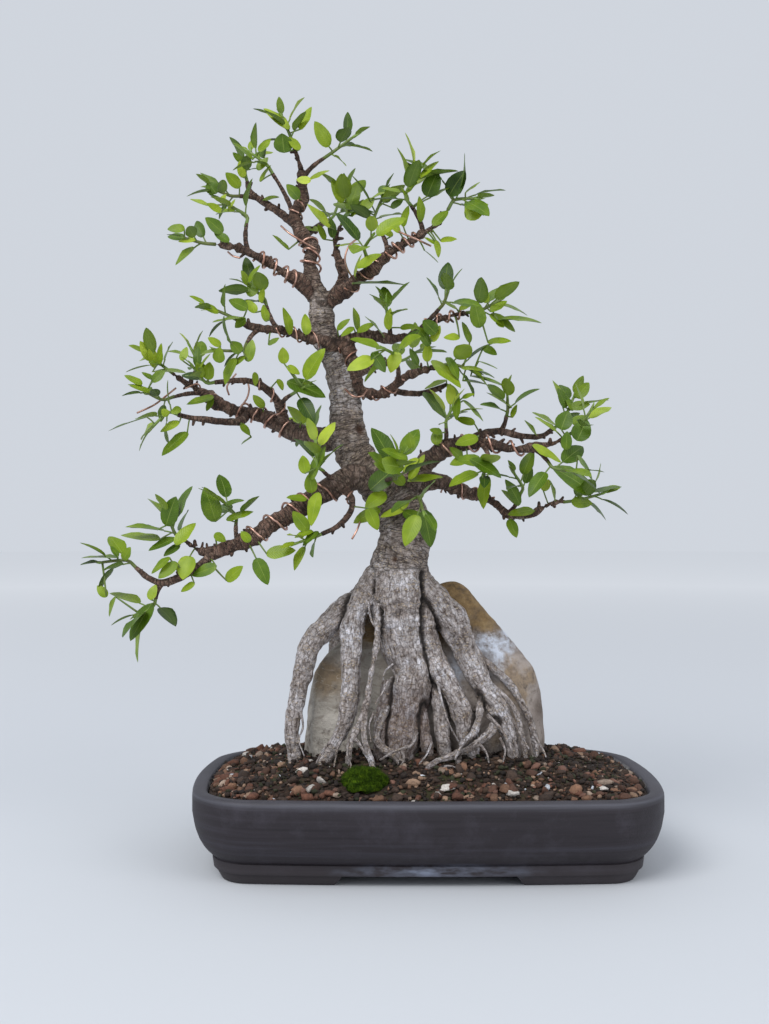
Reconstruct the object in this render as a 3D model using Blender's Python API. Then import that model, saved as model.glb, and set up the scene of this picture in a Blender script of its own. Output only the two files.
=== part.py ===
"""Ficus bonsai grown over a stone, in its unglazed ceramic pot.

Metres, +Z up, +X to the right of the front view, +Y to the back. Everything is laid out from the
middle of the pot on the surface that it stands on, and then moved so that the middle of the whole
outline is the origin.

One object is one physical piece: the pot, its two drain meshes, the soil, the stone, the moss, the
wood of the tree from root tips to twigs, the training wires, and one object for each leafy shoot.
"""

import math
import random

import bmesh
import bpy
import numpy as np
from mathutils import Vector

# Gaps
GAP = 0.0003
ROOT_GAP = 0.0005

# Pot: a rounded rectangle with an incurved wall, a band and four wide feet
POT_WIDTH = 0.355
POT_DEPTH = 0.205
POT_HEIGHT = 0.0635
CORNER_RADIUS = 0.040
CORNER_STEPS = 5
LONG_SIDE_STEPS = 3
SHORT_SIDE_STEPS = 1
# The sides bow outward: how far each narrows at the pot's corners, as a share of the half length
SIDE_BOW = 0.075
FRONT_BOW = 0.085
RIM_WIDTH = 0.010
FLOOR_TOP = 0.017
FOOT_HEIGHT = 0.008
FOOT_THICKNESS = 0.016
FOOT_INSET = 0.018
FOOT_TAPER = 0.004
FRONT_FOOT_GAP = 0.124
SIDE_FOOT_GAP = 0.070
FOOT_SLANT = 0.006
DRAIN_RADIUS = 0.009
DRAIN_OFFSET = 0.085
MESH_SIZE = 0.030
MESH_THICKNESS = 0.0012
MESH_BAR = 0.002
MESH_CELLS = 3

# How far the outer wall lies inside the widest outline, from the underside up to the lip
OUTER_WALL = [
    (0.0080, 0.0180), (0.0085, 0.0165), (0.0150, 0.0155), (0.0165, 0.0165), (0.0210, 0.0105),
    (0.0280, 0.0055), (0.0370, 0.0020), (0.0480, 0.0000), (0.0600, 0.0000), (0.0630, 0.0010),
    (0.0635, 0.0025),
]
# The same for the inner wall, from the lip down to the floor
INNER_WALL = [(0.0635, 0.0105), (0.0620, 0.0120), (0.0480, 0.0130), (0.0300, 0.0155), (0.0210, 0.0215),
              (0.0170, 0.0290)]

# Soil
SOIL_EDGE = 0.0570
SOIL_CROWN = 0.0830
SOIL_RINGS = 7
SOIL_POINTS = 42
GRAVEL_RELIEF = 0.0018
MOSS_CENTRE = (-0.047, -0.070)
MOSS_RADIUS = 0.0150
MOSS_HEIGHT = 0.0105
MOSS_SUNK = 0.0020

# Stone: corners of its faceted body
STONE_CORNERS = [
    (-0.090, -0.010, 0.055), (-0.010, -0.008, 0.055), (0.086, -0.012, 0.055), (0.098, 0.020, 0.055),
    (0.084, 0.064, 0.055), (-0.078, 0.060, 0.055), (-0.102, 0.020, 0.055), (-0.091, -0.006, 0.120),
    (-0.098, 0.018, 0.128), (-0.082, 0.002, 0.156), (-0.060, 0.024, 0.176), (-0.070, 0.052, 0.140),
    (0.014, 0.018, 0.208), (0.025, 0.016, 0.2155), (0.035, 0.020, 0.211), (0.044, 0.012, 0.197),
    (0.058, 0.004, 0.178), (0.082, 0.008, 0.158), (0.092, 0.012, 0.143), (0.100, 0.022, 0.118),
    (0.078, -0.010, 0.112), (0.060, 0.058, 0.158), (0.030, 0.050, 0.200), (0.000, 0.058, 0.178),
    (0.000, -0.012, 0.100), (0.088, 0.052, 0.120), (-0.040, 0.024, 0.196),
]

# Wood. A route's points are x, y, z and the radius there.
FLARE_START = (-0.020, 0.001, 0.238, 0.0130)
TRUNK_SIDES = 11
TRUNK = [
    (-0.021, -0.002, 0.195, 0.0234), (-0.022, 0.000, 0.218, 0.0219), (-0.018, 0.000, 0.236, 0.0207),
    (-0.014, 0.002, 0.253, 0.0204), (-0.021, 0.004, 0.270, 0.0197), (-0.032, 0.004, 0.285, 0.0177),
    (-0.045, 0.002, 0.299, 0.0161), (-0.055, 0.000, 0.311, 0.0149), (-0.061, -0.002, 0.331, 0.0141),
    (-0.062, -0.002, 0.355, 0.0117), (-0.067, -0.002, 0.378, 0.0109), (-0.076, -0.004, 0.397, 0.0105),
    (-0.081, -0.006, 0.418, 0.0097), (-0.081, -0.008, 0.434, 0.0089),
]

ROOTS = {
    "far_left": [
        (-0.048, 0.000, 0.198, 0.0102), (-0.059, -0.004, 0.194, 0.0097), (-0.074, -0.008, 0.182, 0.0093),
        (-0.088, -0.010, 0.166, 0.0085), (-0.094, -0.012, 0.149, 0.0077), (-0.099, -0.016, 0.122, 0.0065),
        (-0.103, -0.018, 0.101, 0.0057), (-0.100, -0.020, 0.066, 0.0046),
    ],
    "left": [
        (-0.048, -0.008, 0.202, 0.0101), (-0.056, -0.012, 0.184, 0.0093), (-0.057, -0.018, 0.157, 0.0084),
        (-0.058, -0.026, 0.124, 0.0072), (-0.063, -0.030, 0.104, 0.0060), (-0.071, -0.034, 0.089, 0.0049),
        (-0.085, -0.036, 0.068, 0.0034),
    ],
    "thin_front": [
        (-0.034, -0.016, 0.199, 0.0038), (-0.038, -0.025, 0.167, 0.0030), (-0.042, -0.031, 0.146, 0.0026),
        (-0.045, -0.036, 0.124, 0.0026), (-0.052, -0.041, 0.106, 0.0026), (-0.058, -0.044, 0.090, 0.0022),
        (-0.061, -0.046, 0.064, 0.0019),
    ],
    "centre": [
        (-0.021, -0.002, 0.210, 0.0226), (-0.016, -0.008, 0.168, 0.0178), (-0.011, -0.010, 0.145, 0.0162),
        (-0.014, -0.014, 0.122, 0.0154), (-0.019, -0.018, 0.096, 0.0146), (-0.022, -0.022, 0.062, 0.0122),
    ],
    "centre_right": [
        (-0.006, -0.008, 0.195, 0.0109), (0.002, -0.012, 0.164, 0.0096), (0.014, -0.016, 0.138, 0.0092),
        (0.026, -0.020, 0.118, 0.0084), (0.032, -0.024, 0.093, 0.0072), (0.034, -0.026, 0.063, 0.0053),
    ],
    "right": [
        (-0.004, -0.004, 0.208, 0.0125), (0.010, -0.006, 0.196, 0.0117), (0.023, -0.008, 0.176, 0.0109),
        (0.034, -0.010, 0.152, 0.0097), (0.045, -0.014, 0.130, 0.0089), (0.057, -0.018, 0.113, 0.0080),
        (0.065, -0.020, 0.092, 0.0065), (0.068, -0.022, 0.065, 0.0046),
    ],
    "outer_right": [
        (0.034, -0.008, 0.160, 0.0035), (0.061, -0.009, 0.138, 0.0031), (0.073, -0.011, 0.121, 0.0027),
        (0.082, -0.013, 0.100, 0.0027), (0.086, -0.015, 0.066, 0.0023),
    ],
    "twin_right": [
        (0.044, -0.013, 0.138, 0.0023), (0.065, -0.020, 0.120, 0.0019), (0.072, -0.025, 0.100, 0.0019),
        (0.077, -0.028, 0.068, 0.0016),
    ],
    "inner_right": [
        (0.042, -0.014, 0.134, 0.0038), (0.040, -0.026, 0.113, 0.0030), (0.035, -0.033, 0.100, 0.0030),
        (0.025, -0.038, 0.088, 0.0026), (0.021, -0.040, 0.064, 0.0022),
    ],
    "crossing": [
        (0.056, -0.019, 0.110, 0.0038), (0.046, -0.031, 0.098, 0.0034), (0.032, -0.038, 0.091, 0.0034),
        (0.017, -0.043, 0.085, 0.0030), (0.002, -0.047, 0.079, 0.0030), (-0.012, -0.049, 0.063, 0.0026),
    ],
    "middle_right": [
        (0.010, -0.013, 0.145, 0.0062), (0.011, -0.020, 0.106, 0.0054), (0.017, -0.026, 0.062, 0.0042),
    ],
    "middle": [
        (-0.008, -0.014, 0.134, 0.0054), (-0.001, -0.025, 0.101, 0.0046), (0.002, -0.029, 0.061, 0.0034),
    ],
    "middle_left": [
        (-0.028, -0.012, 0.136, 0.0069), (-0.035, -0.024, 0.097, 0.0057), (-0.030, -0.030, 0.062, 0.0045),
    ],
    "looping": [
        (-0.030, -0.018, 0.120, 0.0034), (-0.038, -0.034, 0.096, 0.0030), (-0.023, -0.041, 0.083, 0.0030),
        (-0.004, -0.047, 0.064, 0.0026),
    ],
    "split": [
        (-0.047, -0.037, 0.119, 0.0026), (-0.047, -0.045, 0.099, 0.0022), (-0.042, -0.048, 0.083, 0.0022),
        (-0.036, -0.050, 0.062, 0.0019),
    ],
    "back_left": [
        (-0.042, 0.008, 0.206, 0.0095), (-0.058, 0.024, 0.193, 0.0089), (-0.069, 0.042, 0.163, 0.0078),
        (-0.075, 0.056, 0.120, 0.0067), (-0.081, 0.062, 0.081, 0.0055), (-0.085, 0.066, 0.050, 0.0042),
    ],
    "back": [
        (-0.020, 0.010, 0.210, 0.0103), (-0.018, 0.030, 0.198, 0.0089), (-0.016, 0.052, 0.176, 0.0079),
        (-0.012, 0.066, 0.135, 0.0068), (-0.009, 0.072, 0.091, 0.0055), (-0.007, 0.074, 0.050, 0.0043),
    ],
}

BRANCHES = {
    "leader": [
        (-0.081, -0.008, 0.428, 0.0085), (-0.087, -0.008, 0.445, 0.0066), (-0.090, -0.006, 0.461, 0.0058),
        (-0.088, -0.004, 0.472, 0.0055), (-0.096, -0.002, 0.483, 0.0051), (-0.102, 0.000, 0.494, 0.0047),
        (-0.102, 0.002, 0.503, 0.0043), (-0.097, 0.002, 0.510, 0.0039), (-0.096, 0.000, 0.521, 0.0035),
        (-0.097, 0.000, 0.533, 0.0031), (-0.100, -0.002, 0.544, 0.0023), (-0.103, -0.002, 0.553, 0.0016),
    ],
    "crown_left": [
        (-0.084, -0.007, 0.432, 0.0062), (-0.097, -0.014, 0.444, 0.0046), (-0.106, -0.018, 0.448, 0.0042),
        (-0.119, -0.022, 0.456, 0.0038), (-0.133, -0.026, 0.463, 0.0034), (-0.143, -0.028, 0.467, 0.0027),
        (-0.152, -0.030, 0.468, 0.0023), (-0.162, -0.030, 0.469, 0.0016),
    ],
    "crown_upper_left": [
        (-0.098, 0.000, 0.489, 0.0035), (-0.115, 0.008, 0.504, 0.0032), (-0.125, 0.014, 0.512, 0.0028),
        (-0.133, 0.018, 0.518, 0.0024), (-0.140, 0.020, 0.525, 0.0020), (-0.142, 0.020, 0.532, 0.0016),
    ],
    "crown_loop": [
        (-0.081, -0.006, 0.428, 0.0058), (-0.069, 0.006, 0.442, 0.0047), (-0.065, 0.012, 0.453, 0.0044),
        (-0.067, 0.014, 0.465, 0.0040), (-0.071, 0.014, 0.476, 0.0032), (-0.070, 0.012, 0.487, 0.0024),
        (-0.065, 0.010, 0.497, 0.0016),
    ],
    "crown_right": [
        (-0.081, -0.008, 0.428, 0.0072), (-0.062, -0.012, 0.438, 0.0058), (-0.051, -0.015, 0.447, 0.0050),
        (-0.042, -0.018, 0.452, 0.0046), (-0.032, -0.020, 0.461, 0.0042), (-0.022, -0.024, 0.468, 0.0038),
        (-0.011, -0.026, 0.473, 0.0030), (0.001, -0.028, 0.480, 0.0027), (0.010, -0.030, 0.487, 0.0019),
        (0.017, -0.030, 0.497, 0.0016),
    ],
    "crown_back": [
        (-0.096, 0.000, 0.482, 0.0035), (-0.092, 0.018, 0.491, 0.0028), (-0.086, 0.034, 0.500, 0.0024),
        (-0.079, 0.048, 0.509, 0.0017),
    ],
    "left_upper": [
        (-0.070, -0.004, 0.391, 0.0058), (-0.077, -0.018, 0.398, 0.0050), (-0.089, -0.024, 0.399, 0.0046),
        (-0.100, -0.026, 0.402, 0.0038), (-0.111, -0.028, 0.404, 0.0034), (-0.125, -0.028, 0.406, 0.0030),
        (-0.136, -0.030, 0.408, 0.0023), (-0.144, -0.030, 0.412, 0.0016),
    ],
    "left_mid": [
        (-0.061, 0.000, 0.331, 0.0110), (-0.078, 0.008, 0.324, 0.0095), (-0.091, 0.014, 0.329, 0.0084),
        (-0.104, 0.018, 0.332, 0.0076), (-0.116, 0.022, 0.337, 0.0068), (-0.128, 0.026, 0.344, 0.0060),
        (-0.141, 0.028, 0.348, 0.0053), (-0.153, 0.030, 0.350, 0.0049), (-0.166, 0.032, 0.355, 0.0045),
        (-0.175, 0.032, 0.362, 0.0041), (-0.186, 0.032, 0.368, 0.0032), (-0.196, 0.032, 0.374, 0.0024),
        (-0.205, 0.032, 0.381, 0.0016),
    ],
    "left_limb": [
        (-0.112, 0.021, 0.336, 0.0044), (-0.114, 0.010, 0.348, 0.0040), (-0.118, 0.004, 0.357, 0.0031),
        (-0.128, 0.000, 0.366, 0.0027), (-0.137, -0.004, 0.369, 0.0023), (-0.148, -0.008, 0.369, 0.0019),
        (-0.163, -0.012, 0.367, 0.0016),
    ],
    "left_mid_lower": [
        (-0.143, 0.028, 0.347, 0.0036), (-0.147, 0.018, 0.340, 0.0032), (-0.161, 0.010, 0.339, 0.0028),
        (-0.173, 0.004, 0.340, 0.0024), (-0.184, 0.000, 0.341, 0.0020), (-0.193, -0.004, 0.343, 0.0016),
    ],
    "right_mid_lower": [
        (-0.076, -0.004, 0.400, 0.0054), (-0.062, -0.012, 0.395, 0.0054), (-0.056, -0.015, 0.383, 0.0050),
        (-0.053, -0.014, 0.371, 0.0046), (-0.049, -0.010, 0.361, 0.0043), (-0.037, -0.010, 0.358, 0.0039),
        (-0.026, -0.013, 0.363, 0.0035), (-0.015, -0.017, 0.371, 0.0031), (-0.001, -0.020, 0.376, 0.0027),
        (0.010, -0.022, 0.378, 0.0016),
    ],
    "right_mid_upper": [
        (-0.076, -0.004, 0.397, 0.0054), (-0.057, -0.014, 0.401, 0.0046), (-0.043, -0.018, 0.402, 0.0042),
        (-0.028, -0.022, 0.399, 0.0034), (-0.013, -0.024, 0.401, 0.0030), (0.002, -0.028, 0.410, 0.0027),
        (0.019, -0.030, 0.415, 0.0023), (0.032, -0.032, 0.417, 0.0016),
    ],
    "right_mid_second": [
        (-0.028, -0.012, 0.362, 0.0027), (-0.018, -0.005, 0.360, 0.0023), (-0.004, 0.000, 0.360, 0.0023),
        (0.009, 0.005, 0.364, 0.0020), (0.017, 0.008, 0.368, 0.0016),
    ],
    "back_mid": [
        (-0.066, -0.002, 0.367, 0.0046), (-0.057, 0.026, 0.377, 0.0036), (-0.042, 0.044, 0.387, 0.0029),
        (-0.023, 0.060, 0.394, 0.0017),
    ],
    "right_low_upper": [
        (-0.026, 0.004, 0.276, 0.0110), (-0.011, 0.000, 0.293, 0.0094), (-0.001, -0.006, 0.305, 0.0078),
        (0.011, -0.012, 0.313, 0.0066), (0.022, -0.016, 0.318, 0.0058), (0.037, -0.020, 0.320, 0.0050),
        (0.052, -0.024, 0.318, 0.0042), (0.067, -0.028, 0.314, 0.0034), (0.082, -0.030, 0.316, 0.0030),
        (0.097, -0.032, 0.319, 0.0023), (0.107, -0.034, 0.325, 0.0016),
    ],
    "right_low_lower": [
        (-0.024, 0.004, 0.270, 0.0102), (-0.004, 0.012, 0.289, 0.0079), (0.012, 0.018, 0.292, 0.0068),
        (0.025, 0.022, 0.287, 0.0056), (0.037, 0.024, 0.282, 0.0048), (0.047, 0.026, 0.280, 0.0044),
        (0.058, 0.028, 0.274, 0.0040), (0.069, 0.028, 0.265, 0.0036), (0.083, 0.028, 0.264, 0.0032),
        (0.094, 0.028, 0.270, 0.0028), (0.103, 0.028, 0.275, 0.0024), (0.115, 0.028, 0.276, 0.0016),
    ],
    "right_low_top": [
        (0.032, -0.018, 0.320, 0.0038), (0.043, -0.010, 0.327, 0.0031), (0.058, -0.004, 0.330, 0.0027),
        (0.074, 0.002, 0.327, 0.0024), (0.091, 0.006, 0.327, 0.0020), (0.101, 0.008, 0.333, 0.0016),
    ],
    "left_low": [
        (-0.034, 0.002, 0.284, 0.0126), (-0.049, -0.008, 0.293, 0.0109), (-0.062, -0.014, 0.292, 0.0096),
        (-0.077, -0.020, 0.282, 0.0088), (-0.092, -0.024, 0.273, 0.0080), (-0.104, -0.028, 0.265, 0.0076),
        (-0.122, -0.032, 0.254, 0.0068), (-0.137, -0.034, 0.245, 0.0060), (-0.152, -0.036, 0.239, 0.0053),
        (-0.164, -0.036, 0.236, 0.0045), (-0.173, -0.036, 0.239, 0.0030), (-0.182, -0.036, 0.245, 0.0016),
    ],
    "left_low_tip": [
        (-0.157, -0.036, 0.238, 0.0037), (-0.167, -0.040, 0.229, 0.0030), (-0.180, -0.044, 0.220, 0.0030),
        (-0.195, -0.046, 0.214, 0.0026), (-0.206, -0.046, 0.217, 0.0022), (-0.216, -0.046, 0.225, 0.0016),
    ],
    "left_loop": [
        (-0.067, -0.016, 0.289, 0.0035), (-0.057, -0.029, 0.277, 0.0027), (-0.058, -0.033, 0.266, 0.0023),
        (-0.067, -0.035, 0.256, 0.0019), (-0.079, -0.036, 0.250, 0.0016),
    ],
    "back_low": [
        (-0.056, 0.000, 0.311, 0.0060), (-0.063, 0.028, 0.319, 0.0040), (-0.073, 0.050, 0.327, 0.0033),
        (-0.085, 0.066, 0.332, 0.0017),
    ],
}

# Leafy shoots: name, the branch that carries the shoot, the place along that branch (0 to 1), the tip of
# the woody twig (None where the branch itself ends there), the tip of the green shoot, the number of
# leaves and the length of its longest blade.
SHOOTS = [
    ("crown", "leader", 1.00, None, (-0.111, -0.006, 0.573), 7, 0.024),
    ("crown", "leader", 0.78, (-0.078, -0.008, 0.542), (-0.057, -0.014, 0.555), 6, 0.022),
    ("crown", "leader", 0.50, (-0.119, -0.006, 0.530), (-0.136, -0.010, 0.545), 5, 0.020),
    ("crown", "crown_upper_left", 0.60, (-0.147, 0.012, 0.518), (-0.168, 0.004, 0.522), 5, 0.022),
    ("crown", "crown_upper_left", 1.00, None, (-0.140, 0.024, 0.556), 5, 0.020),
    ("crown", "crown_left", 1.00, None, (-0.182, -0.036, 0.472), 5, 0.020),
    ("crown", "crown_left", 0.60, (-0.137, -0.024, 0.486), (-0.151, -0.028, 0.499), 5, 0.022),
    ("crown", "crown_loop", 1.00, None, (-0.062, 0.006, 0.521), 6, 0.024),
    ("crown", "crown_right", 0.47, (-0.037, -0.010, 0.487), (-0.032, -0.008, 0.514), 6, 0.026),
    ("crown", "crown_right", 0.74, (-0.012, -0.034, 0.497), (-0.006, -0.042, 0.521), 7, 0.028),
    ("crown", "crown_right", 1.00, None, (0.035, -0.038, 0.501), 5, 0.027),
    ("crown", "crown_right", 0.28, (-0.046, -0.038, 0.459), (-0.041, -0.060, 0.467), 4, 0.030),
    ("crown", "crown_back", 1.00, None, (-0.070, 0.068, 0.532), 6, 0.024),
    ("left_upper", "left_upper", 0.58, (-0.122, -0.022, 0.424), (-0.136, -0.020, 0.440), 6, 0.025),
    ("left_upper", "left_upper", 1.00, None, (-0.165, -0.034, 0.421), 5, 0.020),
    ("left_upper", "left_upper", 0.72, (-0.135, -0.040, 0.392), (-0.153, -0.052, 0.385), 5, 0.022),
    ("left_mid", "left_mid", 1.00, None, (-0.225, 0.034, 0.396), 6, 0.022),
    ("left_mid", "left_mid", 0.86, (-0.183, 0.020, 0.381), (-0.186, 0.012, 0.398), 5, 0.020),
    ("left_mid", "left_limb", 1.00, None, (-0.177, -0.022, 0.376), 5, 0.020),
    ("left_mid", "left_mid", 0.78, (-0.202, 0.018, 0.359), (-0.227, 0.010, 0.366), 5, 0.018),
    ("left_mid", "left_mid_lower", 1.00, None, (-0.212, -0.010, 0.332), 5, 0.028),
    ("left_mid", "left_limb", 0.20, (-0.103, -0.012, 0.358), (-0.091, -0.028, 0.362), 3, 0.032),
    ("right_mid", "right_mid_upper", 0.42, (-0.029, -0.032, 0.410), (-0.031, -0.040, 0.422), 5, 0.022),
    ("right_mid", "right_mid_upper", 0.66, (0.009, -0.042, 0.418), (0.015, -0.052, 0.429), 5, 0.024),
    ("right_mid", "right_mid_upper", 1.00, None, (0.055, -0.034, 0.426), 6, 0.028),
    ("right_mid", "right_mid_lower", 1.00, None, (0.036, -0.026, 0.374), 6, 0.024),
    ("right_mid", "right_mid_lower", 0.70, (-0.023, -0.038, 0.379), (-0.031, -0.062, 0.384), 5, 0.027),
    ("right_mid", "back_mid", 1.00, None, (-0.002, 0.080, 0.407), 6, 0.024),
    ("right_low", "right_low_upper", 0.32, (0.015, -0.022, 0.331), (0.019, -0.028, 0.345), 6, 0.023),
    ("right_low", "right_low_top", 0.40, (0.062, -0.014, 0.341), (0.062, -0.020, 0.355), 5, 0.024),
    ("right_low", "right_low_top", 1.00, None, (0.118, 0.012, 0.358), 6, 0.025),
    ("right_low", "right_low_upper", 1.00, None, (0.121, -0.042, 0.341), 5, 0.025),
    ("right_low", "right_low_upper", 0.78, (0.090, -0.040, 0.304), (0.111, -0.046, 0.296), 5, 0.030),
    ("right_low", "right_low_upper", 0.52, (0.046, -0.044, 0.305), (0.040, -0.064, 0.294), 5, 0.027),
    ("right_low", "right_low_lower", 0.62, (0.076, 0.012, 0.282), (0.070, 0.002, 0.297), 5, 0.024),
    ("right_low", "right_low_lower", 1.00, None, (0.142, 0.026, 0.282), 6, 0.026),
    ("trunk_front", "trunk", 0.38, (-0.025, -0.050, 0.291), (-0.022, -0.066, 0.306), 6, 0.030),
    ("trunk_front", "trunk", 0.30, (-0.009, -0.048, 0.277), (-0.004, -0.068, 0.266), 5, 0.030),
    ("left_low", "left_low", 0.20, (-0.079, -0.036, 0.298), (-0.083, -0.042, 0.316), 5, 0.028),
    ("left_low", "left_loop", 1.00, None, (-0.095, -0.044, 0.244), 5, 0.022),
    ("left_low", "left_low", 0.66, (-0.145, -0.024, 0.258), (-0.156, -0.022, 0.276), 5, 0.028),
    ("left_low", "left_low", 1.00, None, (-0.194, -0.040, 0.264), 5, 0.028),
    ("left_low", "left_low_tip", 1.00, None, (-0.241, -0.046, 0.229), 5, 0.024),
    ("left_low", "left_low_tip", 0.62, (-0.202, -0.044, 0.202), (-0.214, -0.044, 0.191), 5, 0.032),
    ("left_low", "back_low", 1.00, None, (-0.105, 0.086, 0.344), 6, 0.024),
]

# Twigs and green shoots
TWIG_SIDES = 4
TWIG_RINGS = 4
TWIG_ROOT_RADIUS = 0.0020
TWIG_TIP_RADIUS = 0.0014
SHOOT_SIDES = 4
SHOOT_RINGS = 4
SHOOT_ROOT_RADIUS = 0.0014
SHOOT_TIP_RADIUS = 0.0011

# Leaves: shares of the blade's length unless a unit is named
LEAF_SEED = 43
BLADE_WIDTH = 0.50
PETIOLE = 0.26
PETIOLE_RADIUS = 0.0005
BLADE_HALF_THICKNESS = 0.0005
BLADE_FOLD = 0.28
BLADE_DROOP = 0.16
# Place along the blade and half width there
BLADE_STATIONS = [(0.30, 0.86), (0.66, 0.90)]
LEAF_TRIES = 40
LEAF_CLEARANCE = 0.0006
WOOD_CLEARANCE = 0.0011

# Training wires: name, branch, first and last place along it, number of turns (negative is the other
# sense) and the angle in degrees where the coil starts, chosen so that it passes between the twigs
WIRE_RADIUS = 0.0011
WIRE_SEAT = 0.0006
WIRE_SIDES = 4
WIRE_STEPS = 7
WIRES = [
    ("wire_left_low", "left_low", 0.24, 0.62, 5.0, 0),
    ("wire_left_mid", "left_mid", 0.28, 0.58, -3.5, 210),
    ("wire_crown_left", "crown_left", 0.18, 0.54, 4.0, 30),
    ("wire_crown_right", "crown_right", 0.48, 0.70, 3.0, 0),
    ("wire_right_mid", "right_mid_upper", 0.70, 0.94, -3.0, 300),
    ("wire_right_low", "right_low_upper", 0.34, 0.74, 3.5, 330),
    ("wire_leader", "leader", 0.12, 0.34, -3.0, 60),
]


# Materials


def material(name, colour, roughness, metallic=0.0):
    """Returns a Principled material."""
    result = bpy.data.materials.new(name)
    result.use_nodes = True
    shader = result.node_tree.nodes["Principled BSDF"]
    shader.inputs["Base Color"].default_value = (*colour, 1.0)
    shader.inputs["Roughness"].default_value = roughness
    shader.inputs["Metallic"].default_value = metallic
    return result


# Meshes and solids


def mesh_object(name, points, faces, look=None):
    """Makes an object from points and faces, with its faces turned outward."""
    mesh = bpy.data.meshes.new(name)
    mesh.from_pydata([tuple(float(v) for v in p) for p in points], [], faces)
    shape = bmesh.new()
    shape.from_mesh(mesh)
    bmesh.ops.recalc_face_normals(shape, faces=shape.faces)
    shape.to_mesh(mesh)
    shape.free()
    thing = bpy.data.objects.new(name, mesh)
    bpy.context.scene.collection.objects.link(thing)
    if look is not None:
        mesh.materials.append(look)
    return thing


def apply_modifiers(thing):
    """Replaces an object's mesh by its mesh with the modifiers applied."""
    bpy.context.view_layer.update()
    depsgraph = bpy.context.evaluated_depsgraph_get()
    mesh = bpy.data.meshes.new_from_object(thing.evaluated_get(depsgraph))
    old = thing.data
    thing.modifiers.clear()
    thing.data = mesh
    bpy.data.meshes.remove(old)


def combine(thing, others, operation, solver="EXACT"):
    """Joins other solids to an object, or cuts them out of it, and removes them."""
    group = bpy.data.collections.new("operands")
    for other in others:
        group.objects.link(other)
    cut = thing.modifiers.new("combine", "BOOLEAN")
    cut.operation = operation
    cut.operand_type = "COLLECTION"
    cut.collection = group
    cut.solver = solver
    apply_modifiers(thing)
    for other in others:
        mesh = other.data
        bpy.data.objects.remove(other)
        bpy.data.meshes.remove(mesh)
    bpy.data.collections.remove(group)


def keep_largest_piece(thing):
    """Drops loose scraps, which a cut can leave, and keeps the piece with the most points."""
    shape = bmesh.new()
    shape.from_mesh(thing.data)
    unseen = set(shape.verts)
    largest = set()
    while unseen:
        start = unseen.pop()
        piece = {start}
        queue = [start]
        while queue:
            for edge in queue.pop().link_edges:
                for vert in edge.verts:
                    if vert in unseen:
                        unseen.remove(vert)
                        piece.add(vert)
                        queue.append(vert)
        if len(piece) > len(largest):
            largest = piece
    scraps = [vert for vert in shape.verts if vert not in largest]
    bmesh.ops.delete(shape, geom=scraps, context="VERTS")
    shape.to_mesh(thing.data)
    shape.free()


def tidy_mesh(thing, distance=0.000002):
    """Merges points that a Boolean left nearly on top of each other."""
    shape = bmesh.new()
    shape.from_mesh(thing.data)
    bmesh.ops.remove_doubles(shape, verts=shape.verts, dist=distance)
    bmesh.ops.dissolve_degenerate(shape, dist=distance, edges=shape.edges)
    bmesh.ops.triangulate(shape, faces=[f for f in shape.faces if len(f.verts) > 3])
    shape.to_mesh(thing.data)
    shape.free()


def merge_flat_faces(thing, degrees=0.5):
    """Joins neighbouring triangles that lie in one plane and splits the result again, into fewer."""
    shape = bmesh.new()
    shape.from_mesh(thing.data)
    bmesh.ops.dissolve_limit(shape, angle_limit=math.radians(degrees), verts=shape.verts, edges=shape.edges)
    bmesh.ops.triangulate(shape, faces=shape.faces)
    shape.to_mesh(thing.data)
    shape.free()


def smooth(thing, degrees=50.0):
    """Shades an object smooth, with sharp edges kept sharp."""
    thing.data.shade_smooth()
    thing.data.set_sharp_from_angle(angle=math.radians(degrees))


# Routes and tubes


def unit(vector):
    """Returns a vector at length 1."""
    vector = np.asarray(vector, float)
    return vector / max(np.linalg.norm(vector), 1e-12)


def smooth_route(points, count):
    """Reads `count` rows of x, y, z, radius from a Catmull-Rom curve through the points."""
    p = np.asarray(points, float)
    p = np.vstack([2 * p[0] - p[1], p, 2 * p[-1] - p[-2]])
    result = []
    for t in np.linspace(0, len(points) - 1, count):
        k = min(int(t), len(points) - 2)
        u = t - k
        a, b, c, d = p[k:k + 4]
        row = 0.5 * (2 * b + (c - a) * u + (2 * a - 5 * b + 4 * c - d) * u**2 + (3 * b - a - 3 * c + d) * u**3)
        result.append(row)
    result = np.array(result)
    result[0] = points[0]
    result[-1] = points[-1]
    return result


def route_count(points):
    """Returns how many rings a route gets: one for about every three radii of its length."""
    p = np.asarray(points, float)
    length = np.linalg.norm(np.diff(p[:, :3], axis=0), axis=1).sum()
    return int(np.clip(round(length / (3.0 * p[:, 3].mean())), 4, 10))


def frames_along(centres):
    """Returns the tangent and two crossing directions at each point, turning as little as possible."""
    tangents = np.array([unit(v) for v in np.gradient(centres, axis=0)])
    first = unit(np.cross(tangents[0], (0.13, 0.21, 0.97) if abs(tangents[0][2]) < 0.8 else (0.9, 0.1, 0.2)))
    sides = [first]
    for tangent in tangents[1:]:
        sides.append(unit(sides[-1] - np.dot(sides[-1], tangent) * tangent))
    sides = np.array(sides)
    return tangents, sides, np.cross(tangents, sides)


def tube_mesh(route, sides):
    """Returns points and faces of a closed tube along rows of x, y, z, radius."""
    centres = route[:, :3]
    _, across, above = frames_along(centres)
    points = []
    for centre, radius, u, v in zip(centres, route[:, 3], across, above):
        for k in range(sides):
            angle = 2 * math.pi * k / sides
            points.append(centre + radius * (math.cos(angle) * u + math.sin(angle) * v))
    faces = [tuple(range(sides - 1, -1, -1))]
    for ring in range(len(route) - 1):
        for k in range(sides):
            a = ring * sides + k
            b = ring * sides + (k + 1) % sides
            faces.append((a, b, b + sides, a + sides))
    last = (len(route) - 1) * sides
    faces.append(tuple(range(last, last + sides)))
    return points, faces


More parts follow.
